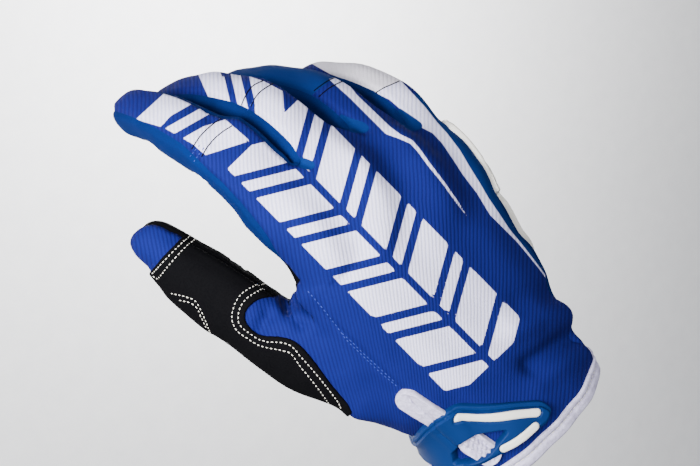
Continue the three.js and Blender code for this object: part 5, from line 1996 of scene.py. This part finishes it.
@dataclass
class Stitching:
    """All sewn lines that show, and the dark lines of painted shade in the finger creases, given on the print
    plane.
    """

    lift: float = 0.12
    over_wrap: float = 0.95
    wrap_lines: tuple[Outline, ...] = (
        ((-59.3, -1.1), (-62.2, -4.1), (-65.6, -7.4), (-69.3, -11.1), (-72.4, -14.6)),
        ((-57.4, -2.2), (-60.4, -5.2), (-63.7, -8.5), (-67.0, -12.2), (-70.4, -16.3), (-72.2, -15.2)),
        ((-65.2, -21.9), (-60.7, -23.0), (-56.7, -24.8), (-53.7, -30.0), (-51.1, -36.3)),
        ((-62.2, -24.4), (-58.9, -25.2), (-56.3, -27.0), (-54.4, -30.7), (-52.6, -34.4)),
        (
            (-31.5, -18.9), (-35.2, -20.0), (-37.8, -21.1), (-41.1, -23.7), (-43.0, -28.1), (-43.3, -31.9),
            (-41.5, -35.6), (-37.8, -38.5), (-34.1, -40.9), (-30.4, -42.0), (-25.2, -43.0), (-21.5, -44.4),
            (-17.8, -49.3), (-12.6, -55.6), (-5.6, -64.4), (-3.7, -65.0), (-3.0, -63.9),
        ),
        (
            (-31.9, -21.1), (-34.8, -22.2), (-38.3, -24.4), (-40.4, -27.4), (-41.1, -31.1), (-40.4, -33.7),
            (-37.4, -36.5), (-34.1, -39.1), (-30.4, -40.0), (-26.3, -40.2), (-21.9, -41.3), (-17.8, -45.6),
            (-10.4, -54.1), (-4.1, -61.9), (-3.0, -63.9),
        ),
    )
    seam_lines: tuple[Outline, ...] = (
        (
            (-15.2, -21.9), (-10.4, -27.4), (-5.2, -34.1), (-1.5, -39.3), (2.2, -43.0), (11.1, -51.5),
            (17.4, -56.7),
        ),
        ((-2.6, -37.4), (1.1, -40.7), (5.2, -44.8), (12.6, -51.5), (16.3, -54.8)),
    )
    # Dark lines of painted shade, laid in the creases across the finger joints
    crease_lines: tuple[Outline, ...] = (
        ((-47.8, 42.2), (-51.9, 39.3), (-55.6, 35.6), (-58.5, 31.1)),
        ((-43.7, 39.6), (-48.1, 36.7), (-52.2, 32.6), (-55.2, 27.8)),
        ((-32.2, 56.3), (-35.9, 54.4), (-38.5, 51.1), (-40.4, 46.7)),
        ((-28.5, 55.2), (-32.2, 53.0), (-34.8, 50.4), (-36.7, 46.7)),
        ((-13.3, 52.6), (-10.4, 54.8), (-7.4, 56.7), (-4.4, 57.8)),
        ((-11.5, 50.4), (-8.5, 53.0), (-5.6, 54.8), (-2.2, 56.3)),
        ((9.6, 51.9), (12.6, 53.7), (15.2, 54.8), (18.5, 56.3)),
    )
    crease_stitches: tuple[Outline, ...] = (
        ((-55.9, 32.2), (-57.8, 30.0), (-59.3, 28.1)),
        ((-54.4, 31.1), (-56.3, 28.5), (-57.8, 26.3)),
        ((-35.9, 48.9), (-37.0, 47.0), (-37.8, 45.6)),
    )

    def build(self, skin: Skin, palette: Palette, binding: CuffBinding) -> None:
        """Builds every thread, and the dark lines of painted shade in the creases."""
        leather, ribbed = "black_synthetic_leather", "ribbed_cloth"
        pale = ThreadRun("wrap_stitches", leather, palette.pale_thread, pitch=1.6, stitch=0.95, radius=0.19)
        pale.lines = self.laid(skin, self.wrap_lines, self.over_wrap)
        tonal = ThreadRun("seam_stitches", ribbed, palette.blue_thread, pitch=1.7, stitch=1.0, radius=0.17)
        tonal.lines = self.laid(skin, (*self.seam_lines, *self.crease_stitches))
        # Dark lines along the creases: painted shade, not thread
        dark = ThreadRun("painted_crease_shade_lines", ribbed, palette.painted_crease_shade, ThreadKind.LINE, pitch=0.7)
        dark.lines = self.laid(skin, self.crease_lines)
        tape = ThreadRun("binding_stitches", "binding_tape", palette.pale_thread, pitch=2.2, stitch=1.7,
                         radius=0.18)
        tape.lines = [binding.stitch_line(skin)]
        for threads in (pale, tonal, dark, tape):
            threads.build()

    def laid(self, skin: Skin, lines: Sequence[Outline], over_wrap: float = 0.0) -> list[Array]:
        """Returns the runs of points of lines laid on the skin."""
        return [run for line in lines for run in skin.lay(line, self.lift, over_wrap)]


@dataclass
class Studio:
    """Pale floor, soft lights and the camera at the photograph's angle."""

    floor_depth: float = 420.0
    floor_size: float = 6000.0
    floor_color: str = "#F6F6F7"
    sky_color: Triple = (0.86, 0.9, 1.0)
    sky_strength: float = 0.2
    sensor: float = 36.0

    def build(self) -> None:
        """Builds floor, lights, background and camera."""
        self._floor()
        self._softbox("key", (-300.0, 240.0, 180.0), (-20.0, 80.0, 0.0), 200.0, 4.8)
        self._softbox("top", (20.0, 440.0, 840.0), (0.0, 90.0, 0.0), 600.0, 7.0)
        self._softbox("fill", (-260.0, -620.0, 380.0), (0.0, 60.0, 0.0), 600.0, 0.6)
        self._pool((210.0, 250.0, -90.0), (210.0, 190.0, -self.floor_depth), 25.0)
        world = bpy.data.worlds.new("soft_studio")
        world.use_nodes = True
        sky = world.node_tree.nodes["Background"]
        sky.inputs[0].default_value = (*self.sky_color, 1.0)
        sky.inputs[1].default_value = self.sky_strength
        bpy.context.scene.world = world
        self._camera()

    def _floor(self) -> None:
        """Builds the floor."""
        corners = np.array([(-1, -1, 0), (1, -1, 0), (1, 1, 0), (-1, 1, 0)]) * self.floor_size / 2
        material = WovenCloth("studio_paper", self.floor_color, 0.9, 0.5, height_mm=0.01, dark="#EEEEF0",
                              grain_mm=2.0).material()
        corners -= np.array([0, 0, self.floor_depth])
        floor = make_mesh("studio_floor", corners, [(0, 1, 2, 3)], material)

    @staticmethod
    def _hang(light: Light, place: Triple, target: Triple) -> None:
        """Hangs a light at its place and turns it to its target."""
        lamp = bpy.data.objects.new(light.name, light)
        lamp.location = Vector(place) * MM
        lamp.rotation_euler = (Vector(target) - Vector(place)).to_track_quat("-Z", "Y").to_euler()
        bpy.context.scene.collection.objects.link(lamp)

    def _softbox(self, name: str, place: Triple, target: Triple, size: float, power: float) -> None:
        """Adds a square soft light of a size in millimetres and a power in watts."""
        light = bpy.data.lights.new(name, "AREA")
        light.shape = "SQUARE"
        light.size = size * MM
        light.energy = power
        self._hang(light, place, target)

    def _pool(self, place: Triple, target: Triple, power: float) -> None:
        """Adds the wide lamp that brightens the floor beyond the glove."""
        light = bpy.data.lights.new("floor_pool", "SPOT")
        light.energy = power
        light.spot_size = np.radians(165)
        light.spot_blend = 1.0
        light.shadow_soft_size = 0.0
        self._hang(light, place, target)

    def _camera(self) -> None:
        """Builds the camera."""
        data = bpy.data.cameras.new("photo_camera")
        data.sensor_width = self.sensor
        data.sensor_fit = "HORIZONTAL"
        data.lens = VIEW.focal_length / VIEW.frame_width * self.sensor
        data.clip_start, data.clip_end = 0.01, 50.0
        camera = bpy.data.objects.new("photo_camera", data)
        right, down, forward = Vector(VIEW.right), Vector(VIEW.down), Vector(VIEW.forward)
        turn = Matrix((right, -down, -forward)).transposed().to_4x4()
        camera.matrix_world = Matrix.Translation(Vector(VIEW.position) * MM) @ turn
        bpy.context.scene.collection.objects.link(camera)
        bpy.context.scene.camera = camera


def main() -> None:
    """Builds the dressed glove and its studio."""
    logging.basicConfig(level=logging.INFO, format="%(name)s: %(message)s")
    skin = Skin.build()
    skin.dress()
    LOG.info("skin: %d faces", len(skin.faces))
    palette = Palette()
    pattern = BackPrint()
    SewnPanel(Panel.BACK, 1.3, "ribbed_cloth", palette.ribbed, pattern.marks).build(skin)
    SewnPanel(Panel.THUMB_BACK, 1.3, "ribbed_cloth", palette.ribbed, thumb_marks).build(skin)
    for panel in SIDE_WALLS:
        SewnPanel(panel, 1.3, "smooth_cloth", palette.smooth).build(skin)
    for panel in (Panel.PALM, Panel.THUMB_PALM):
        SewnPanel(panel, 1.5, "black_synthetic_leather", palette.leather).build(skin)
    ThumbWrap().build(skin, palette.leather)
    SideGuard().build(skin, palette.white_rubber)
    closure = WristClosure()
    closure.build_tab(skin, palette.tape)
    closure.build_frame(skin, palette.blue_rubber)
    closure.build_inlay(skin, palette.white_rubber, "closure_inlay_long", closure.long_outline)
    closure.build_inlay(skin, palette.white_rubber, "closure_inlay_short", closure.short_outline)
    closure.build_strap(skin, palette.smooth)
    binding = CuffBinding()
    binding.build(skin, palette.tape)
    Stitching().build(skin, palette, binding)
    Studio().build()


if __name__ == "__main__":
    main()
